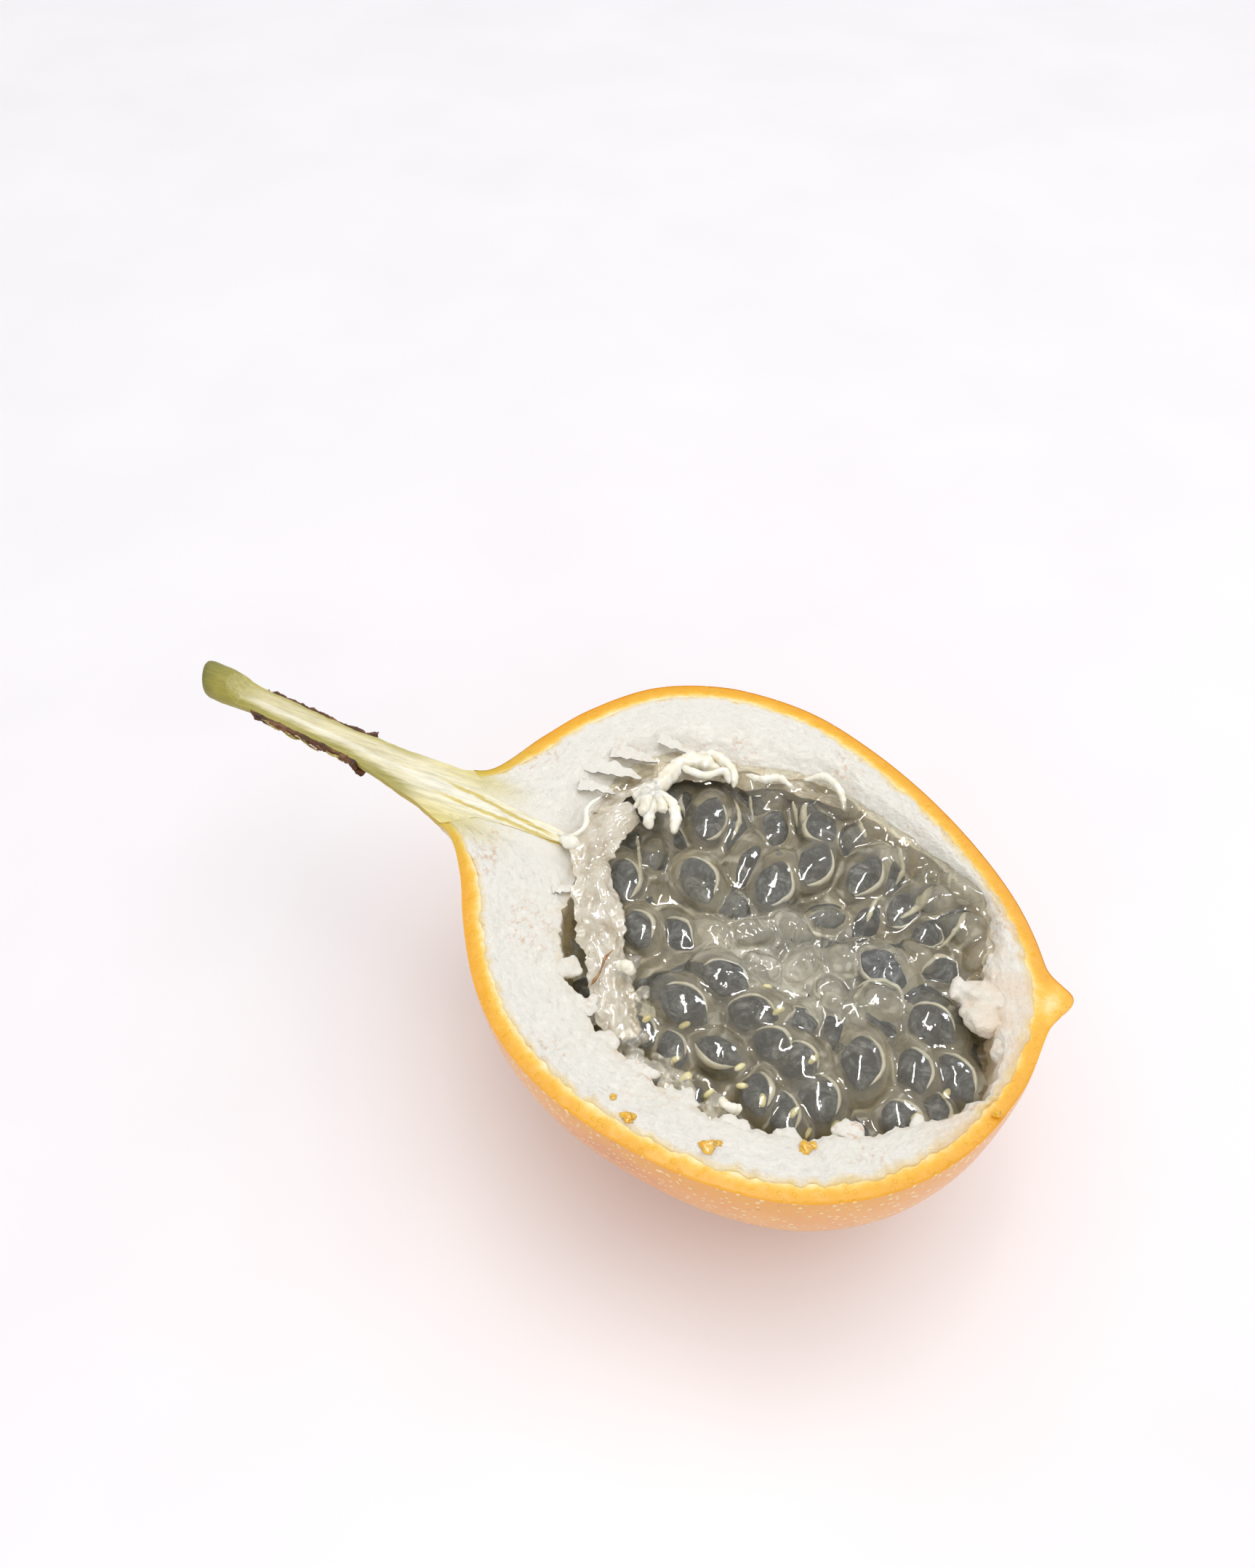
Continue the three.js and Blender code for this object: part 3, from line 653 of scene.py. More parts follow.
class FruitLooks(bpy.types.PropertyGroup):
    """Colours and reliefs of the fruit that a user may change."""

    rind_colour: bpy.props.FloatVectorProperty(
        name="Rind", description="Main colour of the ripe rind",
        subtype="COLOR", size=4, default=colour("#e8901c"),
    )
    gel_colour: bpy.props.FloatVectorProperty(
        name="Gel", description="Colour of the seed sacs' gel",
        subtype="COLOR", size=4, default=colour("#b3ac93"),
    )
    dot_spacing: bpy.props.FloatProperty(
        name="Dot spacing", description="Distance between the pale dots of the rind",
        default=0.92 * MM, unit="LENGTH",
    )
    pith_relief: bpy.props.FloatProperty(
        name="Pith relief", description="Height of the lumps on the cut pith",
        default=0.32 * MM, unit="LENGTH",
    )
    gel_detail: bpy.props.FloatProperty(
        name="Gel detail", description="Grain of the mesh that joins the seed sacs",
        default=0.36 * MM, unit="LENGTH",
    )


class StageLooks(bpy.types.PropertyGroup):
    """Light and floor of the stage."""

    floor_colour: bpy.props.FloatVectorProperty(
        name="Floor", description="Colour of the pale floor",
        subtype="COLOR", size=4, default=colour("#f5f3f6"),
    )
    gleam_power: bpy.props.FloatProperty(
        name="Gleams", description="Power of the lamps that the wet pulp mirrors", default=2.6, unit="POWER"
    )
    fill_power: bpy.props.FloatProperty(
        name="Fill light", description="Power of the wide overhead light", default=2.4, unit="POWER"
    )
    sky: bpy.props.FloatProperty(
        name="Sky", description="Strength of the even light from all round", default=0.88
    )


def neck_tissue(tree, off):
    """Colour of the cut tissue in the neck: cream in the middle, yellower towards the rind."""
    share = add_node(tree, "Math", off, 5.0, operation="DIVIDE")
    return add_node(tree, "ValToRGB", share, stops=[(0.1, "#fdf9e6"), (0.45, "#f3ebbf"), (0.85, "#e8d98a")])


def rind_skin(tree, where, looks, z):
    """Colour of the rind's outside, and where its pale dots are."""
    patches = add_node(tree, "TexNoise", where, fineness(13), 5, 0.55)
    orange = [(0.3, "#cf6c18"), (0.47, "#e9941f"), (0.7, "#f4b03a")]
    ripe = add_node(tree, "ValToRGB", patches, stops=orange)
    rimmed = stained(tree, ripe, colour("#eeab10"), 0.75, (z, -6.0, -0.5))
    blush = add_node(tree, "Mix", 0.3, rimmed, tuple(looks.rind_colour), data_type="RGBA")
    cells = add_node(tree, "TexVoronoi", where, 1 / looks.dot_spacing)
    wobble = add_node(tree, "TexNoise", where, fineness(1.2), 3, 0.55)
    uneven = add_node(tree, "Math", wobble, 0.4, -0.2, operation="MULTIPLY_ADD")
    spread = add_node(tree, "Math", cells, uneven, operation="ADD")
    dots = add_node(tree, "ValToRGB", spread, stops=[(0.2, "#ffffff"), (0.3, "#000000")])
    dotted = add_node(tree, "Mix", dots, blush, colour("#f8d794"), data_type="RGBA")
    scratches = add_node(tree, "TexNoise", where, fineness(5), 6, 0.7)
    return stained(tree, dotted, colour("#a4521f"), 0.6, (scratches, 0.63, 0.72)), dots


def rind_cut(tree, where, depth, x):
    """Colour of the rind's cut edge, from the skin inwards; the beak's flesh is paler."""
    clouds = add_node(tree, "TexNoise", where, fineness(1.6), 6, 0.72)
    blur = add_node(tree, "Math", clouds, 0.7, -0.35, operation="MULTIPLY_ADD")
    tip = add_node(tree, "MapRange", x, 72.2, 74.0, interpolation_type="SMOOTHSTEP")
    beak_flesh = add_node(tree, "Math", tip, 0.42, blur, operation="MULTIPLY_ADD")
    place = add_node(tree, "Math", depth, beak_flesh, operation="ADD")
    return add_node(
        tree, "ValToRGB", place,
        stops=[(0.0, "#e4a004"), (0.46, "#ecad10"), (0.66, "#f2be38"), (0.84, "#f8d888"), (1.0, "#fcebc0")],
    )


def rind_material(looks):
    """Waxed rind: satin orange with corky pale dots, green-yellow at the neck, paler on its cut edge."""
    material, tree, where = new_material("waxy_rind")
    x, _, z = millimetres(tree, where)
    outside, dots = rind_skin(tree, where, looks, z)
    depth = add_node(tree, "Attribute", attribute_name="depth", output="Fac")
    cut = rind_cut(tree, where, depth, x)
    on_cut = add_node(tree, "Math", depth, 0.02, operation="GREATER_THAN")
    base = add_node(tree, "Mix", on_cut, outside, cut, data_type="RGBA")
    clouds = add_node(tree, "TexNoise", where, fineness(6), 3, 0.55)
    wander = add_node(tree, "Math", clouds, 3.0, operation="MULTIPLY")
    along = add_node(tree, "Math", x, wander, operation="ADD")
    necked = stained(tree, base, colour("#c9b23e"), 0.85, (along, 9.0, 0.5))
    grain = add_node(tree, "TexNoise", where, fineness(0.5), 3, 0.55)
    raised = add_node(tree, "Math", dots, 0.6, grain, operation="MULTIPLY_ADD")
    satin = add_node(tree, "Math", on_cut, 0.2, 0.36, operation="MULTIPLY_ADD")
    wax = add_node(tree, "Math", on_cut, -0.5, 0.55, operation="MULTIPLY_ADD")
    finish_material(
        tree,
        {"Base Color": necked, "Roughness": satin, "IOR": 1.45,
         "Subsurface Weight": 0.06, "Subsurface Radius": (0.001, 0.0007, 0.0003), "Subsurface Scale": 1.0,
         "Coat Weight": wax, "Coat Roughness": 0.22},
        raised, 0.12, 0.6,
    )
    return material


def sponge_colour(tree, where):
    """Colour of the pith: white, yellow beside the rind and grey-beige down the cavity's wall."""
    inwards = add_node(tree, "Attribute", attribute_name="inwards", output="Fac")
    from_rind = add_node(tree, "Attribute", attribute_name="from_rind", output="Fac")
    clouds = add_node(tree, "TexNoise", where, fineness(2.2), 5, 0.55)
    wander = add_node(tree, "Math", clouds, 0.3, -0.15, operation="MULTIPLY_ADD")
    lining = add_node(tree, "Math", inwards, wander, operation="ADD")
    across = add_node(
        tree, "ValToRGB", lining,
        stops=[(0.0, "#fffdf7"), (0.46, "#fffcf4"), (0.53, "#f5e9d2"), (0.64, "#e0cc9c"), (1.0, "#bb9a56")],
    )
    patches = add_node(tree, "TexNoise", where, fineness(1.8), 5, 0.6)
    ragged = add_node(tree, "Math", patches, 1.8, -0.9, operation="MULTIPLY_ADD")
    fade = add_node(tree, "Math", from_rind, ragged, operation="ADD")
    edge = add_node(
        tree, "ValToRGB", fade,
        stops=[(0.0, "#f9dc96"), (0.3, "#fce8ba"), (0.65, "#fff4de"), (1.0, "#fffefa")],
    )
    return add_node(tree, "Mix", 1.0, across, edge, data_type="RGBA", blend_type="MULTIPLY")


def pith_material():
    """Moist white pith: a sponge with beige specks, and the strand's cream tissue in the neck."""
    material, tree, where = new_material("spongy_pith")
    grain = add_node(tree, "TexNoise", where, fineness(0.8), 5, 0.7)
    clouds = add_node(tree, "TexNoise", where, fineness(8), 3, 0.55)
    white = sponge_colour(tree, where)
    specked = stained(tree, white, colour("#e3b893"), 0.75, (grain, 0.5, 0.68), (clouds, 0.46, 0.66))
    line, off, x = strand_lines(tree, where)
    patches = add_node(tree, "TexNoise", where, fineness(3), 5, 0.55)
    ended = stained(tree, specked, colour("#f8ddbe"), 0.6, (x, 60.0, 70.0), (patches, 0.3, 0.6))
    tissue = stained(tree, ended, neck_tissue(tree, off), 1.0, (off, 6.5, 3.0), (x, 11.0, 0.0))
    drawn = add_node(tree, "Math", line, 0.85, operation="MULTIPLY")
    lined = add_node(tree, "Mix", drawn, tissue, colour("#dcc75c"), data_type="RGBA")
    finish_material(
        tree,
        {"Base Color": lined, "Roughness": 0.5, "IOR": 1.4, "Subsurface Weight": 0.1,
         "Subsurface Radius": (0.0008, 0.0007, 0.0006), "Subsurface Scale": 1.0,
         "Coat Weight": 0.12, "Coat Roughness": 0.25},
        add_node(tree, "TexNoise", where, fineness(0.6), 6, 0.68), 0.5, 0.9,
    )
    return material


def centre_of_pulp(tree, where):
    """1 in the clear jelly at the middle of the pulp and 0 near the walls, and Y."""
    x, y, _ = millimetres(tree, where)
    parts = []
    for place, middle, half in ((x, PULP_MIDDLE[0], 13.0), (y, PULP_MIDDLE[1], 7.0)):
        off = add_node(tree, "Math", place, middle, operation="SUBTRACT")
        share = add_node(tree, "Math", off, half, operation="DIVIDE")
        parts.append(add_node(tree, "Math", share, 2.0, operation="POWER"))
    reach = add_node(tree, "Math", *parts, operation="ADD")
    clouds = add_node(tree, "TexNoise", where, fineness(5), 3, 0.55)
    wander = add_node(tree, "Math", clouds, 1.4, -0.7, operation="MULTIPLY_ADD")
    edge = add_node(tree, "Math", reach, wander, operation="ADD")
    return add_node(tree, "MapRange", edge, 1.5, 0.4, interpolation_type="SMOOTHSTEP"), y


def gel_material(looks):
    """Seed-sac gel: clear wet jelly with some milk in it, so that what is under it shows greyed."""
    material, tree, where = new_material("wet_gel")
    centre, _ = centre_of_pulp(tree, where)
    clouds = add_node(tree, "TexNoise", where, fineness(4), 4, 0.55)
    cloudy = add_node(tree, "ValToRGB", clouds, stops=[(0.3, "#c2bca8"), (0.7, "#e2decf")])
    share = add_node(tree, "Math", centre, 0.6, operation="MULTIPLY")
    milk = add_node(tree, "Mix", share, cloudy, colour("#cfd3d4"), data_type="RGBA")
    tinted = add_node(tree, "Mix", 0.2, milk, tuple(looks.gel_colour), data_type="RGBA")
    fine = add_node(tree, "TexNoise", where, fineness(0.6), 2, 0.55)
    broad = add_node(tree, "TexNoise", where, fineness(1.6), 2, 0.55)
    ripples = add_node(tree, "Math", fine, 0.3, broad, operation="MULTIPLY_ADD")
    finish_material(
        tree,
        {"Base Color": tinted, "Roughness": 0.04, "IOR": 1.37, "Transmission Weight": 0.9,
         "Coat Weight": 0.6, "Coat Roughness": 0.04},
        ripples, 0.14, 0.6,
    )
    return material


def bed_material():
    """Murky pulp under the gel: grey-beige clouds, paler in the middle, and olive-brown by the near wall,
    which is partly the pulp's own tint and partly painted shade under the wall's lip.
    """
    material, tree, where = new_material("murky_pulp")
    centre, y = centre_of_pulp(tree, where)
    cloud = add_node(tree, "TexNoise", where, fineness(4.5), 4, 0.55, LACUNARITY, 0.8)
    base = add_node(
        tree, "ValToRGB", cloud,
        stops=[(0.28, "#463f2b"), (0.42, "#756b50"), (0.55, "#948a6f"), (0.72, "#b8af96")],
    )
    clear = add_node(tree, "ValToRGB", cloud, stops=[(0.3, "#7d7b70"), (0.5, "#b3aea0"), (0.7, "#dcd8cc")])
    share = add_node(tree, "Math", centre, 0.7, operation="MULTIPLY")
    middled = add_node(tree, "Mix", share, base, clear, data_type="RGBA")
    # Olive-brown by the near wall: partly the pulp's own tint, partly painted shade under the near wall's
    # lip
    olive = add_node(tree, "ValToRGB", cloud, stops=[(0.3, "#3f3417"), (0.6, "#7b6b3e")])
    wall_tint_and_shade = stained(tree, middled, olive, 0.8, (y, -16.0, -24.0))
    finish_material(
        tree,
        {"Base Color": wall_tint_and_shade, "Roughness": 0.35, "Subsurface Weight": 0.2,
         "Subsurface Radius": (0.002, 0.002, 0.0014), "Subsurface Scale": 1.0},
        add_node(tree, "TexNoise", where, fineness(1.5), 3, 0.55), 0.3, 0.6,
    )
    return material


def mantle_material():
    """Skin of each seed sac: a milky veil that is thin on top and thick round its sides."""
    material, tree, where = new_material("milky_sac_skin")
    side = add_node(tree, "Attribute", attribute_name="side", output="Fac")
    clouds = add_node(tree, "TexNoise", where, fineness(1.6), 4, 0.6)
    streaks = add_node(tree, "Math", clouds, 1.1, -0.15, operation="MULTIPLY_ADD")
    thick = add_node(tree, "Math", side, 1.6, operation="POWER")
    veil = add_node(tree, "Math", thick, streaks, operation="MULTIPLY")
    alpha = add_node(tree, "Math", veil, 0.7, 0.02, operation="MULTIPLY_ADD", use_clamp=True)
    milk = add_node(tree, "TexNoise", where, fineness(3), 3, 0.55)
    base = add_node(tree, "ValToRGB", milk, stops=[(0.35, "#aaa38c"), (0.65, "#d9d4c2")])
    finish_material(tree, {"Base Color": base, "Roughness": 0.4, "Alpha": alpha, "IOR": 1.2})
    return material


def seed_material():
    """Seed coat: slate-dark, matt and finely pitted, nearly black in places."""
    material, tree, where = new_material("seed_coat")
    clouds = add_node(tree, "TexNoise", where, fineness(1.8), 6, 0.75, LACUNARITY, 0.6)
    base = add_node(
        tree, "ValToRGB", clouds,
        stops=[(0.38, "#101114"), (0.46, "#2b2e34"), (0.55, "#555960"), (0.66, "#8a8e96")],
    )
    pits = add_node(tree, "TexVoronoi", where, fineness(0.4))
    matt = {"Base Color": base, "Roughness": 0.7, "Specular IOR Level": 0.08}
    finish_material(tree, matt, pits, 0.12, 0.8)
    return material


def cream_material(name, low, high, roughness=0.35):
    """Moist plant tissue, slightly see-through: threads, fibres, sac tips and chips, and the pale crescents
    of painted light beside the seeds.
    """
    material, tree, where = new_material(name)
    clouds = add_node(tree, "TexNoise", where, fineness(1.2), 4, 0.55)
    base = add_node(tree, "ValToRGB", clouds, stops=[(0.3, low), (0.7, high)])
    finish_material(
        tree,
        {"Base Color": base, "Roughness": roughness, "IOR": 1.4, "Subsurface Weight": 0.4,
         "Subsurface Radius": (0.0012, 0.001, 0.0007), "Subsurface Scale": 1.0,
         "Coat Weight": 0.5, "Coat Roughness": 0.08},
        add_node(tree, "TexNoise", where, fineness(0.5), 3, 0.55), 0.12, 0.6,
    )
    return material


def film_material(name="wet_film", low="#d5c8ac", high="#fbf5e6", clear=0.5):
    """Torn wet film: silvery grey, half see-through, finely crinkled."""
    material, tree, where = new_material(name)
    clouds = add_node(tree, "TexNoise", where, fineness(2.4), 6, 0.65)
    base = add_node(tree, "ValToRGB", clouds, stops=[(0.32, low), (0.62, high)])
    cells = add_node(tree, "TexVoronoi", where, fineness(1.1), feature="DISTANCE_TO_EDGE")
    veins = add_node(tree, "MapRange", cells, 0.0, 0.2, interpolation_type="SMOOTHSTEP")
    grain = add_node(tree, "TexNoise", where, fineness(0.7), 5, 0.65)
    crinkle = add_node(tree, "Math", veins, 0.35, grain, operation="MULTIPLY_ADD")
    finish_material(
        tree,
        {"Base Color": base, "Roughness": 0.25, "IOR": 1.4, "Transmission Weight": clear,
         "Coat Weight": 0.8, "Coat Roughness": 0.06},
        crinkle, 0.1, 0.7,
    )
    return material


def split_face(tree, where, along, edge):
    """Colour of the stalk's split face: cream with a white line, and green along both sides."""
    line, off, x = strand_lines(tree, where)
    cream = add_node(
        tree, "ValToRGB", along,
        stops=[(0.05, "#a39e45"), (0.1, "#c5bd75"), (0.17, "#e6dcae"), (0.45, "#efe6bf"), (0.6, "#f3ebc9"),
               (0.75, "#fbf5dc"), (0.95, "#fffaea")],
    )
    near = stained(tree, cream, colour("#a69c37"), 0.9, (edge, -0.3, -0.75), (x, 0.0, -8.0))
    far = stained(tree, near, colour("#bdb35c"), 0.8, (edge, 0.6, 0.95), (x, -3.0, -10.0))
    necked = stained(tree, far, neck_tissue(tree, off), 1.0, (x, -9.0, -3.0))
    whitened = stained(tree, necked, colour("#fffbe6"), 0.8, (off, 0.5, 0.15), (x, -37.0, -30.0))
    drawn = add_node(tree, "Math", line, 0.9, operation="MULTIPLY")
    return add_node(tree, "Mix", drawn, whitened, colour("#d8c356"), data_type="RGBA")


def stalk_material():
    """Green stalk with long fibres: a cream split face, green-yellow flanks and a green knob."""
    material, tree, where = new_material("green_stalk")
    stretched = add_node(tree, "Mapping", named={"Vector": where, "Scale": (0.1, 1.0, 1.0)})
    fibres = add_node(tree, "TexNoise", stretched, fineness(0.5), 5, 0.65)
    x, _, _ = millimetres(tree, where)
    along = add_node(tree, "MapRange", x, -42.0, 16.0)
    flank = add_node(
        tree, "ValToRGB", along,
        stops=[(0.0, "#77762b"), (0.06, "#a39a3a"), (0.2, "#b3a64a"), (0.5, "#b0a53c"), (0.6, "#c4b03f"),
               (0.7, "#d8b843")],
    )
    side = add_node(tree, "Attribute", attribute_name="side", output="Fac")
    ragged = add_node(tree, "Math", fibres, 0.5, -0.25, operation="MULTIPLY_ADD")
    edge = add_node(tree, "Math", side, ragged, operation="ADD")
    on_face = add_node(tree, "Math", side, -1.5, operation="GREATER_THAN")
    face = split_face(tree, where, along, edge)
    base = add_node(tree, "Mix", on_face, flank, face, data_type="RGBA")
    streaks = add_node(tree, "ValToRGB", fibres, stops=[(0.3, "#a7a48c"), (0.62, "#ffffff")])
    streaked = add_node(tree, "Mix", 0.5, base, streaks, data_type="RGBA", blend_type="MULTIPLY")
    finish_material(
        tree,
        {"Base Color": streaked, "Roughness": 0.5, "Subsurface Weight": 0.15,
         "Subsurface Radius": (0.001, 0.001, 0.0005), "Subsurface Scale": 1.0},
        fibres, 0.25, 0.8,
    )
    return material


def bark_material():
    """Dry bark: brown-black, cracked along the stalk, with paler torn fibres."""
    material, tree, where = new_material("dry_bark")
    stretched = add_node(tree, "Mapping", named={"Vector": where, "Scale": (0.3, 1.0, 1.0)})
    grain = add_node(tree, "TexNoise", stretched, fineness(0.9), 6, 0.7)
    base = add_node(
        tree, "ValToRGB", grain,
        stops=[(0.3, "#331e12"), (0.48, "#613b23"), (0.6, "#946640"), (0.74, "#c4ab6c")],
    )
    finish_material(tree, {"Base Color": base, "Roughness": 0.85}, grain, 0.35, 1.0)
    return material


def floor_material(settings):
    """Smooth white board: matt, with the faintest mottle."""
    material, tree, where = new_material("white_board")
    mottle = add_node(tree, "TexNoise", where, fineness(40), 2, 0.55)
    shade = add_node(tree, "ValToRGB", mottle, stops=[(0.3, "#f1f1f1"), (0.7, "#ffffff")])
    base = add_node(
        tree, "Mix", 0.3, tuple(settings.floor_colour), shade, data_type="RGBA", blend_type="MULTIPLY"
    )
    finish_material(tree, {"Base Color": base, "Roughness": 0.45, "Specular IOR Level": 0.3})
    return material


class GRANADILLA_OT_skin(bpy.types.Operator):
    """Make the thin rind: a bowl with the neck at the stalk and the beak at the blossom end"""

    bl_idname = "granadilla.skin"
    bl_label = "Rind"

    # Shares of the grid round a section: the outside, then each cut edge
    OUTSIDE = 0.6
    CUT_EDGE = 0.05
    # Shares of the length: the closed end of the grid, and how far the outside and the inside run
    END = 0.004
    LENGTH = 0.98
    INSIDE_LENGTH = 0.946
    INSIDE_ENDS = 0.93
    NECK_TAPER = 0.012
    TIP_THICKNESS = 1.7
    GRID = (240, 220)

    def place(self, u, v):
        share = min(max((u - self.END) / self.LENGTH, 0.0), 1.0)
        inside_share = self.END + self.INSIDE_LENGTH * min(share / self.INSIDE_ENDS, 1.0)
        thickness = skin_thickness(share)
        ends = [self.OUTSIDE, self.OUTSIDE + self.CUT_EDGE, 1 - self.CUT_EDGE]
        if v <= ends[0]:
            angle, depth = math.pi * v / ends[0], 0.0
        elif v <= ends[1]:
            angle, depth = math.pi, (v - ends[0]) / self.CUT_EDGE
        elif v <= ends[2]:
            angle, depth = math.pi * (1 - (v - ends[1]) / (ends[2] - ends[1])), 1.0
        else:
            angle, depth = 0.0, (1 - v) / self.CUT_EDGE
        outer = rind(share, angle)
        inner = rind(inside_share, angle) - rind_normal(inside_share, angle) * thickness
        if share > self.INSIDE_ENDS:
            middle = (rind(inside_share, 0) + rind(inside_share, math.pi)) / 2
            middle.x -= self.TIP_THICKNESS
            inner = inner.lerp(middle, min(1.0, (share - self.INSIDE_ENDS) / (1 - self.INSIDE_ENDS)))
        if u < self.END:
            outer = inner = (outer + inner) / 2
        outer = outer.lerp(inner, 1 - soft_step(0, self.NECK_TAPER, share))
        outer.x += beak(outer)
        point = outer.lerp(inner, depth)
        if 0 < depth < 1:
            point.z += 0.16 * ripple(point, 2.2) * math.sin(math.pi * depth) - 0.1 * (1 - depth) ** 2
        elif depth == 0:
            point += rind_normal(share, angle) * 0.1 * ripple(point, 9) * math.sin(angle)
        point.z = max(point.z, -CUT_HEIGHT)
        return point

    def depth(self, u, v):
        """0 on the outside, rising over the cut edge to 1 on the inside."""
        if v <= self.OUTSIDE:
            return 0.0
        if v <= self.OUTSIDE + self.CUT_EDGE:
            return 0.03 + 0.97 * (v - self.OUTSIDE) / self.CUT_EDGE
        if v <= 1 - self.CUT_EDGE:
            return 1.0
        return 0.03 + 0.97 * (1 - v) / self.CUT_EDGE if v < 1 else 0.0

    def execute(self, context):
        shape = shaped_grid(*self.GRID, self.place, depth=self.depth)
        material = rind_material(context.scene.granadilla_fruit)
        finish_piece(shape, "rind", material, ["skin"], crisp=48)
        return {"FINISHED"}


class GRANADILLA_OT_pith(bpy.types.Operator):
    """Make the white pith: a bowl with a lumpy cut face and a torn edge round the cavity"""

    bl_idname = "granadilla.pith"
    bl_label = "Pith"

    # Shares of the grid from the keel to the cavity's floor: the hidden outside, then the cut face
    HIDDEN = 0.12
    TOP = 0.62
    OUTER_DEPTH = 30.4
    LOWEST_EDGE = -0.2
    CRUMBS_EACH = 9
    SPONGE_DETAIL = 0.2 * MM
    # Torn pieces are coloured like these places of the cut face, near the torn edge and far from the rind
    SHRED_TONE = 0.42
    SHRED_FROM_RIND = 4.0
    SPONGE_TONE = 0.44
    SPONGE_FROM_RIND = 2.0
    GRID = (460, 110)
    SHRED_GRID = (22, 20)

    def sponge(self):
        """Crumbs of torn pith that lie against each other at the blossom end and along the near wall."""
        draw = random.Random(RANDOM_SEED + 4)
        shape = bmesh.new()
        for x, y, z, length, width, height in SPONGE:
            add_to(shape, lump((x, y, z - 0.3), (length, width, height), 0.3, 4))
            for _ in range(self.CRUMBS_EACH):
                spot = (
                    x + draw.gauss(0, 0.26 * length),
                    y + draw.gauss(0, 0.26 * width),
                    z - 0.3 + draw.uniform(0.1, 0.36) * height,
                )
                size = [draw.uniform(0.7, 1.9), draw.uniform(0.7, 1.9), draw.uniform(0.6, 1.3)]
                add_to(shape, lump(spot, size, 0.5, 3))
        return shape

    def inner_reach(self, degrees):
        """The torn edge round the cavity."""
        reach = CAVITY.at(degrees)
        spot = from_centre(degrees, reach, 0)
        torn = 0.7 * ripple(spot, 3.4, 4) + 0.45 * ripple(spot, 1.2, 3)
        return reach + torn * (1 - 0.6 * farness(degrees))

    def outer_reach(self, degrees):
        """The pith ends on top of the rind's cut edge, in a ragged line."""
        rim = PITH_RIM.at(degrees)
        return rim + 0.5 + 0.45 * ripple(from_centre(degrees, rim, 0), 1.8, 3)

    def edge_drop(self, degrees):
        """How far the cut face sinks towards the cavity."""
        return 0.7 + 1.2 * farness(degrees)

    def across_top(self, degrees, across):
        """A point of the cut face, from the rind at 0 to the cavity at 1."""
        outside, inside = self.outer_reach(degrees), self.inner_reach(degrees)
        point = from_centre(degrees, outside + (inside - outside) * across, 0)
        clear = strand_clear(point.x, point.y)
        pores = abs(ripple(point, 1.2, 4))
        lumps = self.relief * ripple(point, 3.4, 2) + 0.2 * ripple(point, 0.8, 3) - 0.3 * pores
        swell = 0.25 * math.sin(math.pi * min(across * 1.3, 1.0))
        start = 0.78 - 0.4 * farness(degrees)
        point.z = 0.1 + (swell + lumps) * soft_step(0.03, 0.16, across) * clear
        point.z -= 0.28 * soft_step(0.05, 0, across)
        point.z -= self.edge_drop(degrees) * soft_step(start, 1.0, across) ** 1.6
        return point

    def place(self, u, v):
        degrees = 360 * u
        if v <= self.HIDDEN:
            climb = 0.5 * math.pi * v / self.HIDDEN
            outside = self.outer_reach(degrees)
            point = from_centre(degrees, outside * math.sin(climb), -self.OUTER_DEPTH * math.cos(climb))
            point.z = min(max(point.z, -inside_depth(point.x, point.y)), self.LOWEST_EDGE)
            return point
        if v <= self.TOP:
            return self.across_top(degrees, (v - self.HIDDEN) / (self.TOP - self.HIDDEN))
        down = (v - self.TOP) / (1 - self.TOP)
        climb = 0.5 * math.pi * (1 - down) ** 1.5
        edge = self.across_top(degrees, 1.0)
        reach = self.inner_reach(degrees) * math.sin(climb)
        point = from_centre(degrees, reach, edge.z - (CAVITY_DEPTH + edge.z) * math.cos(climb))
        outwards = from_centre(degrees, 1, 0) - from_centre(degrees, 0, 0)
        return point + outwards * 0.5 * ripple(point, 2.4, 4) * soft_step(0, 0.1, down) * (1 - down)

    def inwards(self, u, v):
        """0 at the rind, 0.5 at the torn edge and 1 down the cavity's wall."""
        if v <= self.HIDDEN:
            return 0.0
        if v <= self.TOP:
            return 0.5 * (v - self.HIDDEN) / (self.TOP - self.HIDDEN)
        return 0.5 + 0.5 * min(1.0, 5 * (v - self.TOP) / (1 - self.TOP))

    def from_rind(self, u, v):
        """About the distance from the rind in millimetres on the cut face, up to 4."""
        if v <= self.HIDDEN:
            return 0.0
        across = min(1.0, (v - self.HIDDEN) / (self.TOP - self.HIDDEN))
        return min(3.0, across * (PITH_RIM.at(360 * u) - CAVITY.at(360 * u))) + soft_step(0.3, 1.0, across)

    def shred(self, start, end, width):
        """A torn flake of pith that leans over the cavity."""
        start, end = Vector((*start, 0.15)), Vector((*end, -0.6))
        along = end - start
        aside = Vector((-along.y, along.x, 0)).normalized()

        def place(u, v):
            top = v <= 0.5
            across = 4 * v - 1 if top else 3 - 4 * v
            taper = (1 - u**1.6) ** 0.6 if u < 1 else 0.0
            half = 0.5 * width * taper * (1 + 0.45 * ripple((9 * u, across, start.x), 1.3, 3))
            point = start + along * u + aside * half * across
            point.z += 0.35 * math.sin(3 * u) + 0.22 * ripple(point, 1.1, 3) * (1 if top else 0.6)
            return point - Vector((0, 0, 0 if top else 0.12 + 0.35 * (1 - across**2)))

        return shaped_grid(
            *self.SHRED_GRID, place,
            inwards=lambda u, v: self.SHRED_TONE, from_rind=lambda u, v: self.SHRED_FROM_RIND,
        )

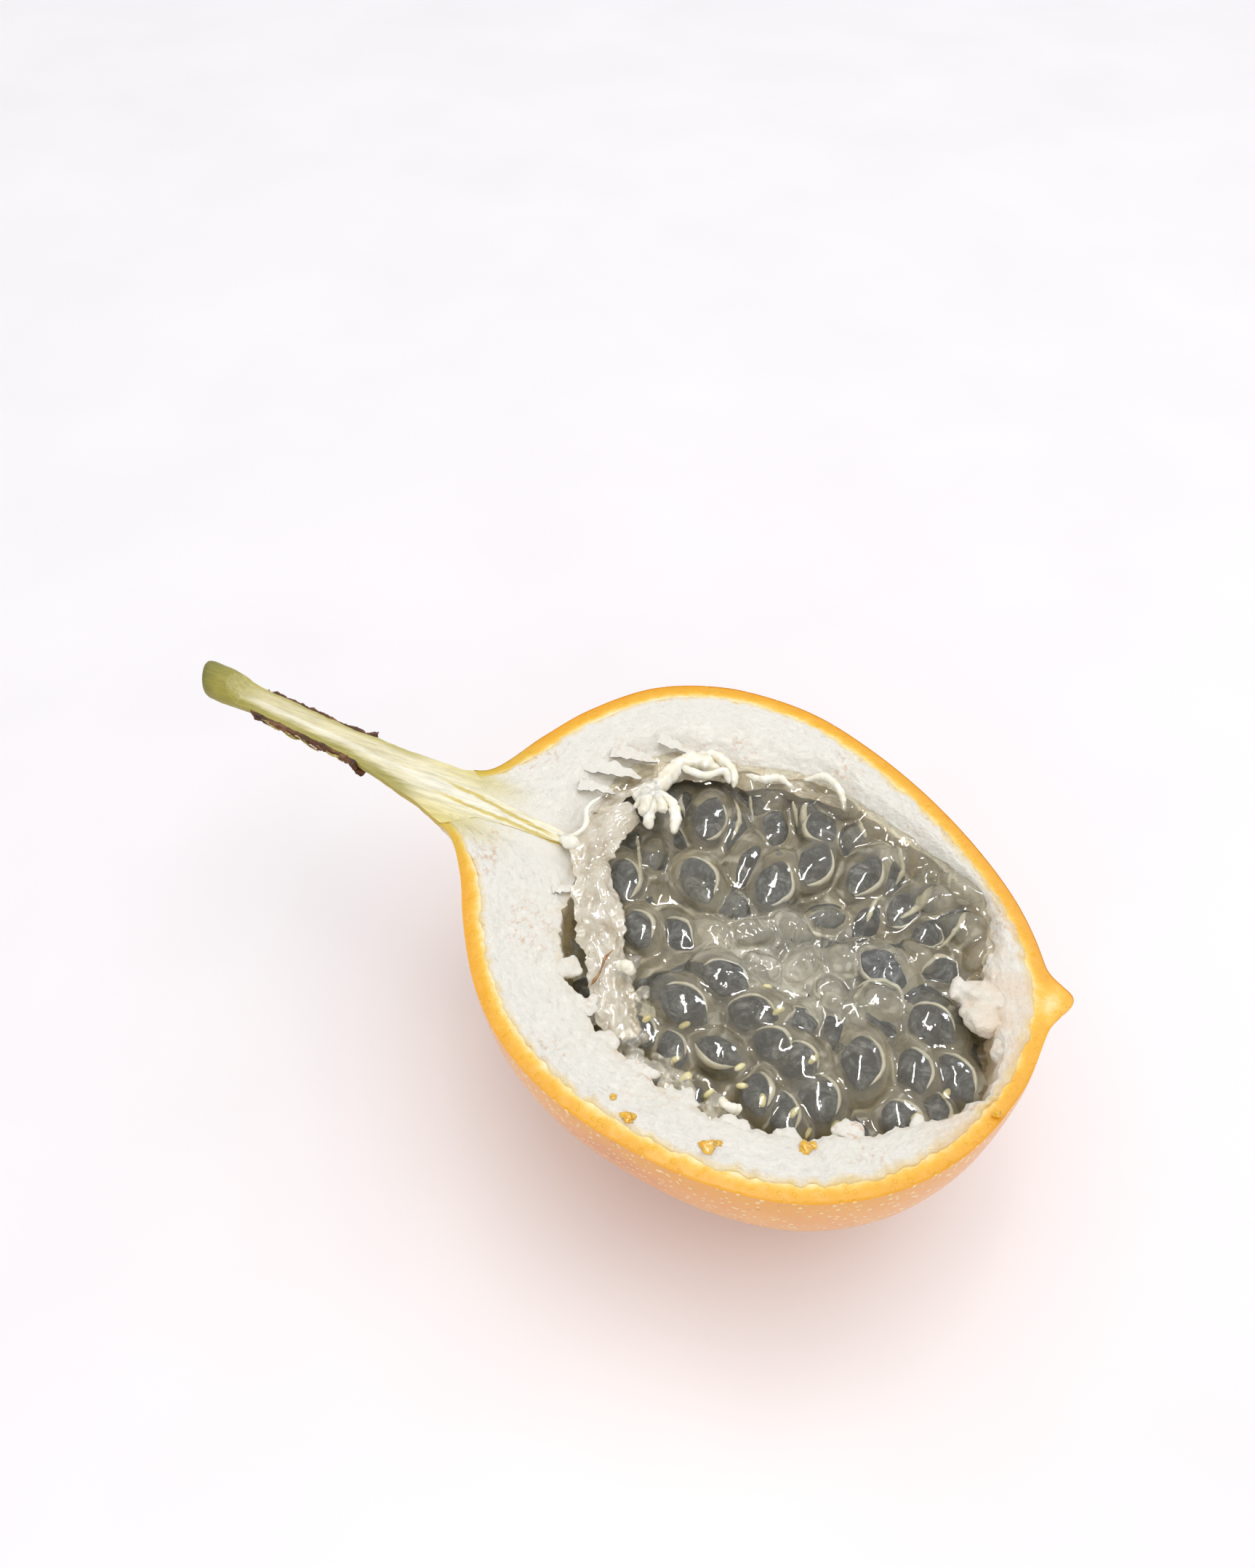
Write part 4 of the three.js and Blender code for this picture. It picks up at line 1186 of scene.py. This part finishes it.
    def execute(self, context):
        looks = context.scene.granadilla_fruit
        self.relief = looks.pith_relief / MM
        shape = shaped_grid(*self.GRID, self.place, inwards=self.inwards, from_rind=self.from_rind)
        for start, end, width in SHREDS:
            add_to(shape, self.shred(start, end, width))
        material = pith_material()
        finish_piece(shape, "pith_sponge", material, ["pith"], crisp=75)
        torn = finish_piece(self.sponge(), "torn_sponge", material)
        melt_together(torn, self.SPONGE_DETAIL, 2)
        mark(torn.data, "inwards", self.SPONGE_TONE)
        mark(torn.data, "from_rind", self.SPONGE_FROM_RIND)
        return {"FINISHED"}


class GRANADILLA_OT_stalk(bpy.types.Operator):
    """Make the stalk, split along the cut as far as its knob, and the strand that runs on into the pith"""

    bl_idname = "granadilla.stalk"
    bl_label = "Stalk"

    START = -42.0
    LENGTH = 57.6
    GRID = (300, 96)

    def place(self, u, v):
        x = self.START + self.LENGTH * u
        y = look_up(STALK_LINE, x)
        radius = look_up(STALK_RADIUS, x) * (1 + 0.05 * ripple((x, 0, 0), 5))
        if u == 0.0 or u == 1.0:
            radius = 0.0
        angle = 2 * math.pi * v - math.pi / 2
        point = Vector((x, y + radius * math.cos(angle), radius * math.sin(angle)))
        knife = knife_height(x)
        if point.z > knife:
            groove = 0.12 * ripple((x * 0.12, point.y, 0), 0.6, 3)
            point.z = knife + groove * (1 if x > KNIFE_LEAVES else 0)
        point.x -= 0.35 * (point.y - y) * soft_step(self.START + 3, self.START, x)
        point.x = max(point.x, self.START)
        return point

    def face(self, u, v):
        """-2 on the round side; on the split face, 1 at its far edge to -1 at its near one."""
        x = self.START + self.LENGTH * u
        angle = 2 * math.pi * v - math.pi / 2
        if look_up(STALK_RADIUS, x) * math.sin(angle) <= knife_height(x):
            return -2.0
        return math.cos(angle)

    def execute(self, context):
        shape = shaped_grid(*self.GRID, self.place, side=self.face)
        finish_piece(shape, "split_stalk", stalk_material(), ["stalk"])
        return {"FINISHED"}


class GRANADILLA_OT_bark(bpy.types.Operator):
    """Make the ragged bark that is left round the middle of the stalk"""

    bl_idname = "granadilla.bark"
    bl_label = "Bark"

    GRID = (170, 90)
    CURLS = 16
    CURLS_FROM = -32.5
    CURLS_TO = -17

    def place(self, u, v):
        outer = v <= 0.5
        sweep = v / 0.5 if outer else (1 - v) / 0.5
        ragged = 0.9 * ripple((sweep * 6, 3, 0), 1.5)
        x = BARK_FROM + (BARK_TO - BARK_FROM) * u + ragged * (1 if u > 0.5 else -1) * abs(2 * u - 1) ** 3
        torn = 0.16 * ripple((x, 7 if sweep > 0.5 else 0, 0), 1.8, 4)
        angle = -math.pi - 0.1 - torn + (math.pi + 0.2 + 2 * torn) * sweep
        flare = 0.4 * soft_step(BARK_TO - 1.6, BARK_TO - 0.5, x) * (1 + ripple((0, 9 * sweep, 0), 1.6, 2))
        thick = max(0.12, 0.4 + 0.35 * ripple((x, 9 * sweep, 0), 1.5, 4) + flare)
        edge = u in (0.0, 1.0) or v in (0.0, 0.5, 1.0)
        radius = look_up(STALK_RADIUS, x) + (thick if outer and not edge else 0.02)
        return Vector((x, look_up(STALK_LINE, x) + radius * math.cos(angle), radius * math.sin(angle)))

    def execute(self, context):
        shape = shaped_grid(*self.GRID, self.place)
        finish_piece(shape, "torn_bark", bark_material(), ["bark_sleeve"])
        draw = random.Random(RANDOM_SEED + 3)
        curls = bmesh.new()
        for _ in range(self.CURLS):
            x = draw.uniform(self.CURLS_FROM, self.CURLS_TO)
            flank = look_up(STALK_LINE, x) - look_up(STALK_RADIUS, x) - 0.1
            start = Vector((x, flank, draw.uniform(-0.9, 0)))
            reach = Vector((draw.uniform(1.5, 4.0), -draw.uniform(0.0, 0.9), draw.uniform(-0.6, 0.3)))
            bend = Vector((0, -draw.uniform(0.1, 0.5), draw.uniform(-0.3, 0.3)))
            size = draw.uniform(0.08, 0.2)
            add_to(curls, tube([start, start + reach * 0.5 + bend, start + reach], size, 7, 14, 0.4, 0.5))
        fibre = cream_material("dry_fibre", "#6d4f2a", "#c9bd6a", 0.7)
        finish_piece(curls, "bark_shreds", fibre)
        return {"FINISHED"}


class GRANADILLA_OT_film(bpy.types.Operator):
    """Make the torn silvery film between the pith and the pulp, and the clear crumbs at its end"""

    bl_idname = "granadilla.film"
    bl_label = "Film"

    CRUMB_DETAIL = 0.18 * MM
    GRID = (170, 76)
    LOWEST_CRUMB = -3.4

    def sheet(self, points, lean, folds):
        """A thin ragged strip along points, whose pulp side hangs lower by its lean."""
        line = Guide([p[:3] for p in points])
        widths = [(i / (len(points) - 1), p[3]) for i, p in enumerate(points)]

        def place(u, v):
            here = line.at(u)
            along = (line.at(u + 0.02) - line.at(u - 0.02)).normalized()
            inwards = Vector((-along.y, along.x, 0)).normalized()
            top = v <= 0.5
            across = 4 * v - 1 if top else 3 - 4 * v
            width = look_up(widths, u) * (1 + 0.28 * ripple((u * 34, 4 * across, 2), 2.4, 4))
            if u in (0.0, 1.0):
                width *= 0.1
            point = here + inwards * width * across
            fold = ripple((point.x * 0.35, point.y * 0.35, 2 * across), 1.5, 2)
            point.z += -lean * across - 0.3 * across**2 + folds * fold + 0.07 * ripple(point, 1.4, 3)
            if not top:
                point.z -= 0.22 * (1 - across**2) + 0.02
            return point

        return shaped_grid(*self.GRID, place)

    def execute(self, context):
        shape = self.sheet(FILM_LINE, 0.7, 0.4)
        finish_piece(shape, "torn_film", film_material(), ["membrane"])
        lining = self.sheet(LINING_LINE, 0.5, 0.5)
        dull_film = film_material("wall_lining", "#b8a888", "#e8e0cf", 0.2)
        finish_piece(lining, "cavity_lining", dull_film)
        draw = random.Random(RANDOM_SEED + 2)
        crumbs = bmesh.new()
        for x, y, count, spread in CRUMBS:
            for _ in range(count):
                spot = (x + draw.gauss(0, spread * 0.6), y + draw.gauss(0, spread * 0.6))
                size = [draw.uniform(0.9, 2.1) for _ in range(3)]
                level = max(gel_level(*spot), self.LOWEST_CRUMB) + draw.uniform(-0.6, 0.3)
                add_to(crumbs, lump((*spot, level), size, 0.5, 3))
        material = film_material("clear_crumbs", "#d9d4c4", "#f6f3ea", 0.85)
        jelly = finish_piece(crumbs, "film_crumbs", material)
        melt_together(jelly, self.CRUMB_DETAIL, 2)
        jelly.visible_shadow = False
        scar = tube(SCAR_LINE, 0.2, 8, 24, 0.5)
        finish_piece(scar, "film_scar", cream_material("brown_scar", "#5f3a1a", "#b98a4c", 0.5))
        return {"FINISHED"}


class GRANADILLA_OT_threads(bpy.types.Operator):
    """Make the threads that tied the seeds to the wall, the strand's torn end and the chips of rind"""

    bl_idname = "granadilla.threads"
    bl_label = "Seed threads"

    def execute(self, context):
        shape = bmesh.new()
        for points, radius in THREADS:
            add_to(shape, tube(points, radius * THREAD_SHARE, 18, 46, 0.3))
        material = cream_material("cream_threads", "#f0e8cf", "#fffbee")
        finish_piece(shape, "seed_thread_tuft", material, ["seed_threads"])
        fibre = bmesh.new()
        add_to(fibre, tube(FIBRE_HOOK, 0.32, 10, 30, 0.2, 0.4))
        add_to(fibre, tube(FIBRE_STUB, 0.8, 12, 20, 0.3, 0.45))
        finish_piece(fibre, "torn_fibre", cream_material("white_fibre", "#f6efda", "#fffaf0"))
        chips = bmesh.new()
        for x, y, size in CHIPS:
            add_to(chips, lump((x, y, 0.35), (size * 1.3, size, 0.5), 0.8, 3))
            beside = (x + 0.5 * size, y + 0.35 * size, 0.3)
            add_to(chips, lump(beside, (size * 0.6, size * 0.7, 0.4), 0.8, 3))
        finish_piece(chips, "rind_chips", cream_material("orange_chips", "#eba61f", "#f7c04c"))
        return {"FINISHED"}


def seed_matrix(x, y, z, heading, roll, pitch=0.0):
    """Where a seed or its sac lies, and how it is turned."""
    spot = to_frame((x, y, z))
    turn = Matrix.Rotation(math.radians(heading), 4, "Z") @ Matrix.Rotation(math.radians(pitch), 4, "Y")
    return Matrix.Translation(spot) @ turn @ Matrix.Rotation(math.radians(roll), 4, "X")


def narrowing(along):
    """How much narrower than its middle a seed is, from its blunt end at -1 to its narrow end at 1."""
    return 0.5 * max(0.0, along) ** 1.6 + 0.2 * max(0.0, -along) ** 2


def sac_places():
    """Every seed: the measured ones, then deeper ones by a seeded rule where there is room."""
    draw = random.Random(RANDOM_SEED)
    sacs = []
    for x, y, heading, length, width, sunk, roll, side in SEEDS:
        sacs.append({"x": x, "y": y, "z": gel_level(x, y) - SEED_COVER - sunk, "heading": heading,
                     "roll": roll, "length": length, "width": width, "side": side, "sunk": sunk})
    for _ in range(SEED_TRIES):
        degrees, share = draw.uniform(0, 360), math.sqrt(draw.random()) * 0.93
        spot = from_centre(degrees, CAVITY.at(degrees) * share, 0)
        if any((Vector((s["x"], s["y"])) - spot.xy).length < SEED_CLEARANCE for s in sacs):
            continue
        middle = from_pulp_middle(spot.x, spot.y, 12, 6) < 1
        if middle and draw.random() < 0.75:
            continue
        sunk = draw.uniform(2.6, 3.6) + (0.9 if middle else 0)
        sacs.append({"x": spot.x, "y": spot.y, "z": gel_level(spot.x, spot.y) - SEED_COVER - sunk,
                     "heading": degrees + draw.uniform(-35, 35), "roll": draw.uniform(-60, 60),
                     "length": draw.uniform(5.2, 6.4), "width": draw.uniform(3.2, 4.2),
                     "side": draw.choice((-1, 1)), "sunk": sunk})
    return sacs


class GRANADILLA_OT_seeds(bpy.types.Operator):
    """Make the flat dark seeds, the pale crescents of painted light along their edges, and the yellow
    thread ends
    """

    bl_idname = "granadilla.seeds"
    bl_label = "Seeds"

    # Seeds deeper than this get no crescent of painted light
    GLOW_SHOWS_TO = 2.2
    GLOW_GRID = (26, 8)
    STREAK_DEPTH = 1.1
    STREAK_END_DEPTH = 1.7
    TIP_HALF = 0.75
    TIP_RISE = Vector((0, 0, 0.15))

    def seed(self, sac):
        """A flat pitted seed, narrow at one end."""
        shape = bmesh.new()
        bmesh.ops.create_uvsphere(shape, u_segments=26, v_segments=18, radius=0.5)
        bmesh.ops.rotate(shape, verts=shape.verts, matrix=Matrix.Rotation(math.pi / 2, 3, "Y"))
        length, width = sac["length"] * SEED_SHARE[0], sac["width"] * SEED_SHARE[1]
        for corner in shape.verts:
            along = corner.co.x * 2
            narrow = 1.02 - narrowing(along)
            corner.co.x *= length * MM
            corner.co.y *= width * MM * narrow
            flat = math.copysign(abs(2 * corner.co.z) ** 0.6 / 2, corner.co.z)
            corner.co.z = flat * SEED_THICKNESS * MM * (1 - 0.25 * abs(along) ** 3)
            pit = 0.05 * ripple(corner.co / MM + Vector((sac["x"], sac["y"], 0)), 0.8, 2)
            corner.co *= 1 + pit
        shape.transform(seed_matrix(sac["x"], sac["y"], sac["z"], sac["heading"], sac["roll"]))
        return shape

    def margin(self, sac):
        """A pale crescent of painted light along one long edge of a seed: light that the gel bends round
        the seed's edge.
        """
        reach = SEED_SHARE[0] * sac["length"] / 2 + 0.12
        half, side = SEED_SHARE[1] * sac["width"] / 2 + 0.08, sac["side"]
        turn = seed_matrix(0, 0, 0, sac["heading"], sac["roll"]).to_3x3()
        # The crescent starts a little later round one seed than round the next
        first = 0.05 + 0.14 * (1 + ripple((sac["x"], sac["y"], 0), 3))

        def place(u, v):
            sweep = math.pi * (first + (0.95 - first) * u)
            swell = math.sin(math.pi * u) ** 0.7 if 0 < u < 1 else 0.0
            along = math.cos(sweep)
            narrow = 1.04 - narrowing(along)
            spot = Vector((reach * along, side * half * narrow * math.sin(sweep), 0.1))
            away = Vector((math.cos(sweep), side * math.sin(sweep), 0))
            angle = 2 * math.pi * v
            spot += away * 0.24 * swell * math.cos(angle)
            spot.z += 0.4 * swell * math.sin(angle)
            return turn @ spot + Vector((sac["x"], sac["y"], sac["z"] + 0.1))

        return shaped_grid(*self.GLOW_GRID, place)

    def mantle(self, sac):
        """The upper half of the milky skin round a seed."""
        shape = bmesh.new()
        bmesh.ops.create_icosphere(shape, subdivisions=3, radius=0.5)
        layer = shape.verts.layers.float.new("side")
        milky = sac.get("milky", 0.0)
        for corner in shape.verts:
            corner[layer] = max(milky, 1 - max(0.0, corner.co.z * 2))
            corner.co *= 1 + 0.1 * ripple(corner.co * 3 + Vector((sac["x"], sac["y"], 0)), 1.5, 2)
        low = [corner for corner in shape.verts if corner.co.z < -0.1]
        bmesh.ops.delete(shape, geom=low, context="VERTS")
        size = Vector((sac["length"] + SAC_MARGIN, sac["width"] + SAC_MARGIN, 3.0)) * MM
        bmesh.ops.scale(shape, verts=shape.verts, vec=size)
        shape.transform(seed_matrix(sac["x"], sac["y"], sac["z"] + 0.15, sac["heading"], 0.4 * sac["roll"]))
        return shape

    def execute(self, context):
        seeds, edge_glows, tips, mantles, streaks = (bmesh.new() for _ in range(5))
        for sac in sac_places():
            add_to(seeds, self.seed(sac))
            add_to(mantles, self.mantle(sac))
            # A seed near the top gets a pale crescent of painted light along one edge
            if sac["sunk"] < self.GLOW_SHOWS_TO:
                add_to(edge_glows, self.margin(sac))
        for x, y, over, heading, length, width, milky in EMPTY_SACS:
            empty = {"x": x, "y": y, "z": gel_level(x, y) + over, "heading": heading, "roll": 0,
                     "length": length - SAC_MARGIN, "width": width - SAC_MARGIN, "milky": milky}
            add_to(mantles, self.mantle(empty))
        for points in STREAKS:
            route = [(x, y, gel_level(x, y) - self.STREAK_DEPTH) for x, y in points]
            for end in (0, -1):
                x, y = points[end]
                route[end] = (x, y, gel_level(x, y) - self.STREAK_END_DEPTH)
            add_to(streaks, tube(route, 0.3, 8, 24, 0.4, 0.5))
        for x, y, heading in SAC_TIPS:
            turn = math.radians(heading)
            reach = Vector((math.cos(turn), math.sin(turn), 0)) * self.TIP_HALF
            middle = Vector((x, y, gel_level(x, y) - 0.55))
            route = [middle - reach, middle + self.TIP_RISE, middle + reach]
            add_to(tips, tube(route, 0.37, 10, 12, 0.15, 0.5))
        finish_piece(seeds, "dark_seeds", seed_material())
        # The pale crescents beside the seeds are painted light
        finish_piece(edge_glows, "seed_edge_glows", cream_material("painted_edge_glow", "#dcd5c1", "#f6f1e3"))
        finish_piece(mantles, "sac_skins", mantle_material())
        finish_piece(streaks, "sac_sides", cream_material("pale_sac_side", "#c9c2ab", "#ece7d6"))
        finish_piece(tips, "sac_tips", cream_material("yellow_tips", "#e4d48c", "#f5ecc2"))
        return {"FINISHED"}


class GRANADILLA_OT_gel(bpy.types.Operator):
    """Make the gel: seed sacs joined into one wet surface, over a murky bed"""

    bl_idname = "granadilla.gel"
    bl_label = "Gel"

    # Share of a bowl's grid from the keel to its rim, and the height below which its surface is left smooth
    WALL = 0.4
    SMOOTH_BELOW = -7
    GRID = (150, 60)

    def bowl(self, inset, top, lumps):
        """A bowl that fills the cavity up to a level, with a lumpy top."""

        def place(u, v):
            degrees = 360 * u
            reach = CAVITY.at(degrees) - inset
            if v <= self.WALL:
                climb = 0.5 * math.pi * v / self.WALL
                depth = (CAVITY_DEPTH - inset) * math.cos(climb)
                point = from_centre(degrees, reach * math.sin(climb), -depth)
                point.z = min(point.z, top(point) - 0.05)
                return point
            point = from_centre(degrees, reach * (1 - (v - self.WALL) / (1 - self.WALL)), 0)
            point.z = top(point) + lumps * ripple(point, 3.2, 3)
            return point

        return shaped_grid(*self.GRID, place)

    def hump(self, size, place):
        """The swelling of one sac."""
        shape = bmesh.new()
        bmesh.ops.create_icosphere(shape, subdivisions=3, radius=0.5)
        bmesh.ops.scale(shape, verts=shape.verts, vec=Vector(size) * MM)
        shape.transform(place)
        return shape

    def between_sacs(self, point):
        """Height of the jelly between the sacs, which rises where it clings to the far wall."""
        degrees, away = direction_of(point.x, point.y)
        clings = 1.3 * farness(degrees) * soft_step(0.8, 1.0, away / CAVITY.at(degrees))
        return gel_level(point.x, point.y) - SEED_COVER + clings

    def wrinkle(self, mesh):
        """Small waves all over the wet surface, and folded jelly in its middle."""
        for corner in mesh.vertices:
            x = corner.co.x / MM + REST_SPOT[0]
            y = corner.co.y / MM + REST_SPOT[1]
            z = corner.co.z / MM - CUT_HEIGHT
            if z < self.SMOOTH_BELOW:
                continue
            middle = soft_step(1.6, 0.4, from_pulp_middle(x, y, 12, 6.5))
            waves = 0.12 * ripple((x, y, z), 2.8, 2)
            folds = 1.5 * middle * (0.45 - abs(ripple((x, y, 5), 3.4, 2)))
            corner.co.z += (waves + folds) * MM * soft_step(self.SMOOTH_BELOW, self.SMOOTH_BELOW + 2, z)

    def execute(self, context):
        looks = context.scene.granadilla_fruit
        bed = self.bowl(-0.3, lambda p: gel_level(p.x, p.y) - 4.0, 1.1)
        finish_piece(bed, "pulp_bed", bed_material())
        draw = random.Random(RANDOM_SEED + 1)
        sacs = self.bowl(-1.2, self.between_sacs, 0.5)
        for sac in sac_places():
            # The sac over a deep seed still reaches the surface, so it is lifted, and a little narrower
            hump = max(0.0, sac["sunk"] - 1.6)
            size = (sac["length"] + 3.6, sac["width"] + 2.6 - 0.3 * hump, 4.6)
            z = sac["z"] + 0.35 + 0.75 * hump
            pitch = draw.uniform(-10, 10)
            place = seed_matrix(sac["x"], sac["y"], z, sac["heading"], 0.4 * sac["roll"], pitch)
            add_to(sacs, self.hump(size, place))
        for x, y, over, heading, length, width, _ in EMPTY_SACS:
            place = seed_matrix(x, y, gel_level(x, y) + over - 0.3, heading, 0, draw.uniform(-14, 14))
            add_to(sacs, self.hump((length + 1.0, width + 0.8, 3.4), place))
        gel = finish_piece(sacs, "sac_gel", gel_material(looks), ["pulp"])
        melt_together(gel, looks.gel_detail, 4)
        self.wrinkle(gel.data)
        gel.visible_shadow = False
        return {"FINISHED"}


class GRANADILLA_OT_stage(bpy.types.Operator):
    """Set the pale floor, the soft studio light and the camera"""

    bl_idname = "granadilla.stage"
    bl_label = "Stage"

    def floor(self, settings):
        shape = bmesh.new()
        bmesh.ops.create_grid(shape, x_segments=1, y_segments=1, size=2.0)
        mesh = bpy.data.meshes.new("floor")
        shape.to_mesh(mesh)
        shape.free()
        mesh.materials.append(floor_material(settings))
        board = bpy.data.objects.new("floor", mesh)
        bpy.context.collection.objects.link(board)

    def light(self, name, place, target, size, power, tint):
        """A rectangular lamp that looks at its target."""
        data = bpy.data.lights.new(name, "AREA")
        data.shape = "RECTANGLE"
        data.size, data.size_y = size
        data.energy = power
        data.color = colour(tint)[:3]
        lamp = bpy.data.objects.new(name, data)
        lamp.location = place
        lamp.rotation_euler = (Vector(target) - Vector(place)).to_track_quat("-Z", "Y").to_euler()
        bpy.context.collection.objects.link(lamp)
        return lamp

    def camera(self):
        data = bpy.data.cameras.new("camera")
        data.sensor_width = SENSOR
        data.lens = CAMERA_FOCAL_PIXELS * SENSOR / FRAME_HEIGHT_PIXELS
        data.clip_start = 0.005
        data.clip_end = 20
        camera = bpy.data.objects.new("camera", data)
        camera.location = to_frame(CAMERA_PLACE)
        camera.rotation_euler = (math.radians(90 - CAMERA_PITCH), 0, math.radians(CAMERA_AZIMUTH))
        bpy.context.collection.objects.link(camera)
        bpy.context.scene.camera = camera

    def execute(self, context):
        scene = context.scene
        settings = scene.granadilla_stage
        self.floor(settings)
        fill = self.light("fill", (0.14, 0.1, 0.85), (0, 0, 0), (0.8, 0.8), settings.fill_power, "#fffefd")
        fill.visible_glossy = False
        # Lamps that show only where something wet mirrors them: name, place, size, share of power, colour
        gleams = [
            ("tube_gleam", (-0.03, 0.0, 0.5), (0.34, 0.014), 1.0, "#fffdf8"),
            ("window_gleam", (0.14, 0.26, 0.34), (0.03, 0.08), 0.16, "#eef4ff"),
        ]
        for name, place, size, share, tint in gleams:
            lamp = self.light(name, place, (0, 0, 0.025), size, share * settings.gleam_power, tint)
            lamp.visible_diffuse = False
        self.camera()
        world = bpy.data.worlds.new("studio")
        world.use_nodes = True
        sky = world.node_tree.nodes["Background"]
        sky.inputs["Color"].default_value = colour("#fdfcfd")
        sky.inputs["Strength"].default_value = settings.sky
        scene.world = world
        scene.view_settings.view_transform = "Standard"
        return {"FINISHED"}


class GRANADILLA_PT_panel(bpy.types.Panel):
    """Buttons for each piece"""

    bl_label = "Granadilla"
    bl_idname = "GRANADILLA_PT_panel"
    bl_space_type = "VIEW_3D"
    bl_region_type = "UI"
    bl_category = "Granadilla"

    def draw(self, context):
        for settings in (context.scene.granadilla_fruit, context.scene.granadilla_stage):
            for name in settings.__annotations__:
                self.layout.prop(settings, name)
        for operator in PIECES:
            self.layout.operator(operator.bl_idname)


PIECES = (
    GRANADILLA_OT_stage,
    GRANADILLA_OT_skin,
    GRANADILLA_OT_pith,
    GRANADILLA_OT_stalk,
    GRANADILLA_OT_bark,
    GRANADILLA_OT_film,
    GRANADILLA_OT_threads,
    GRANADILLA_OT_gel,
    GRANADILLA_OT_seeds,
)
CLASSES = (FruitLooks, StageLooks, *PIECES, GRANADILLA_PT_panel)


def register():
    for item in CLASSES:
        bpy.utils.register_class(item)
    bpy.types.Scene.granadilla_fruit = bpy.props.PointerProperty(type=FruitLooks)
    bpy.types.Scene.granadilla_stage = bpy.props.PointerProperty(type=StageLooks)


def unregister():
    del bpy.types.Scene.granadilla_fruit
    del bpy.types.Scene.granadilla_stage
    for item in reversed(CLASSES):
        bpy.utils.unregister_class(item)


def main():
    """Make every piece in order."""
    register()
    for operator in PIECES:
        group, name = operator.bl_idname.split(".")
        getattr(getattr(bpy.ops, group), name)()


if __name__ == "__main__":
    main()
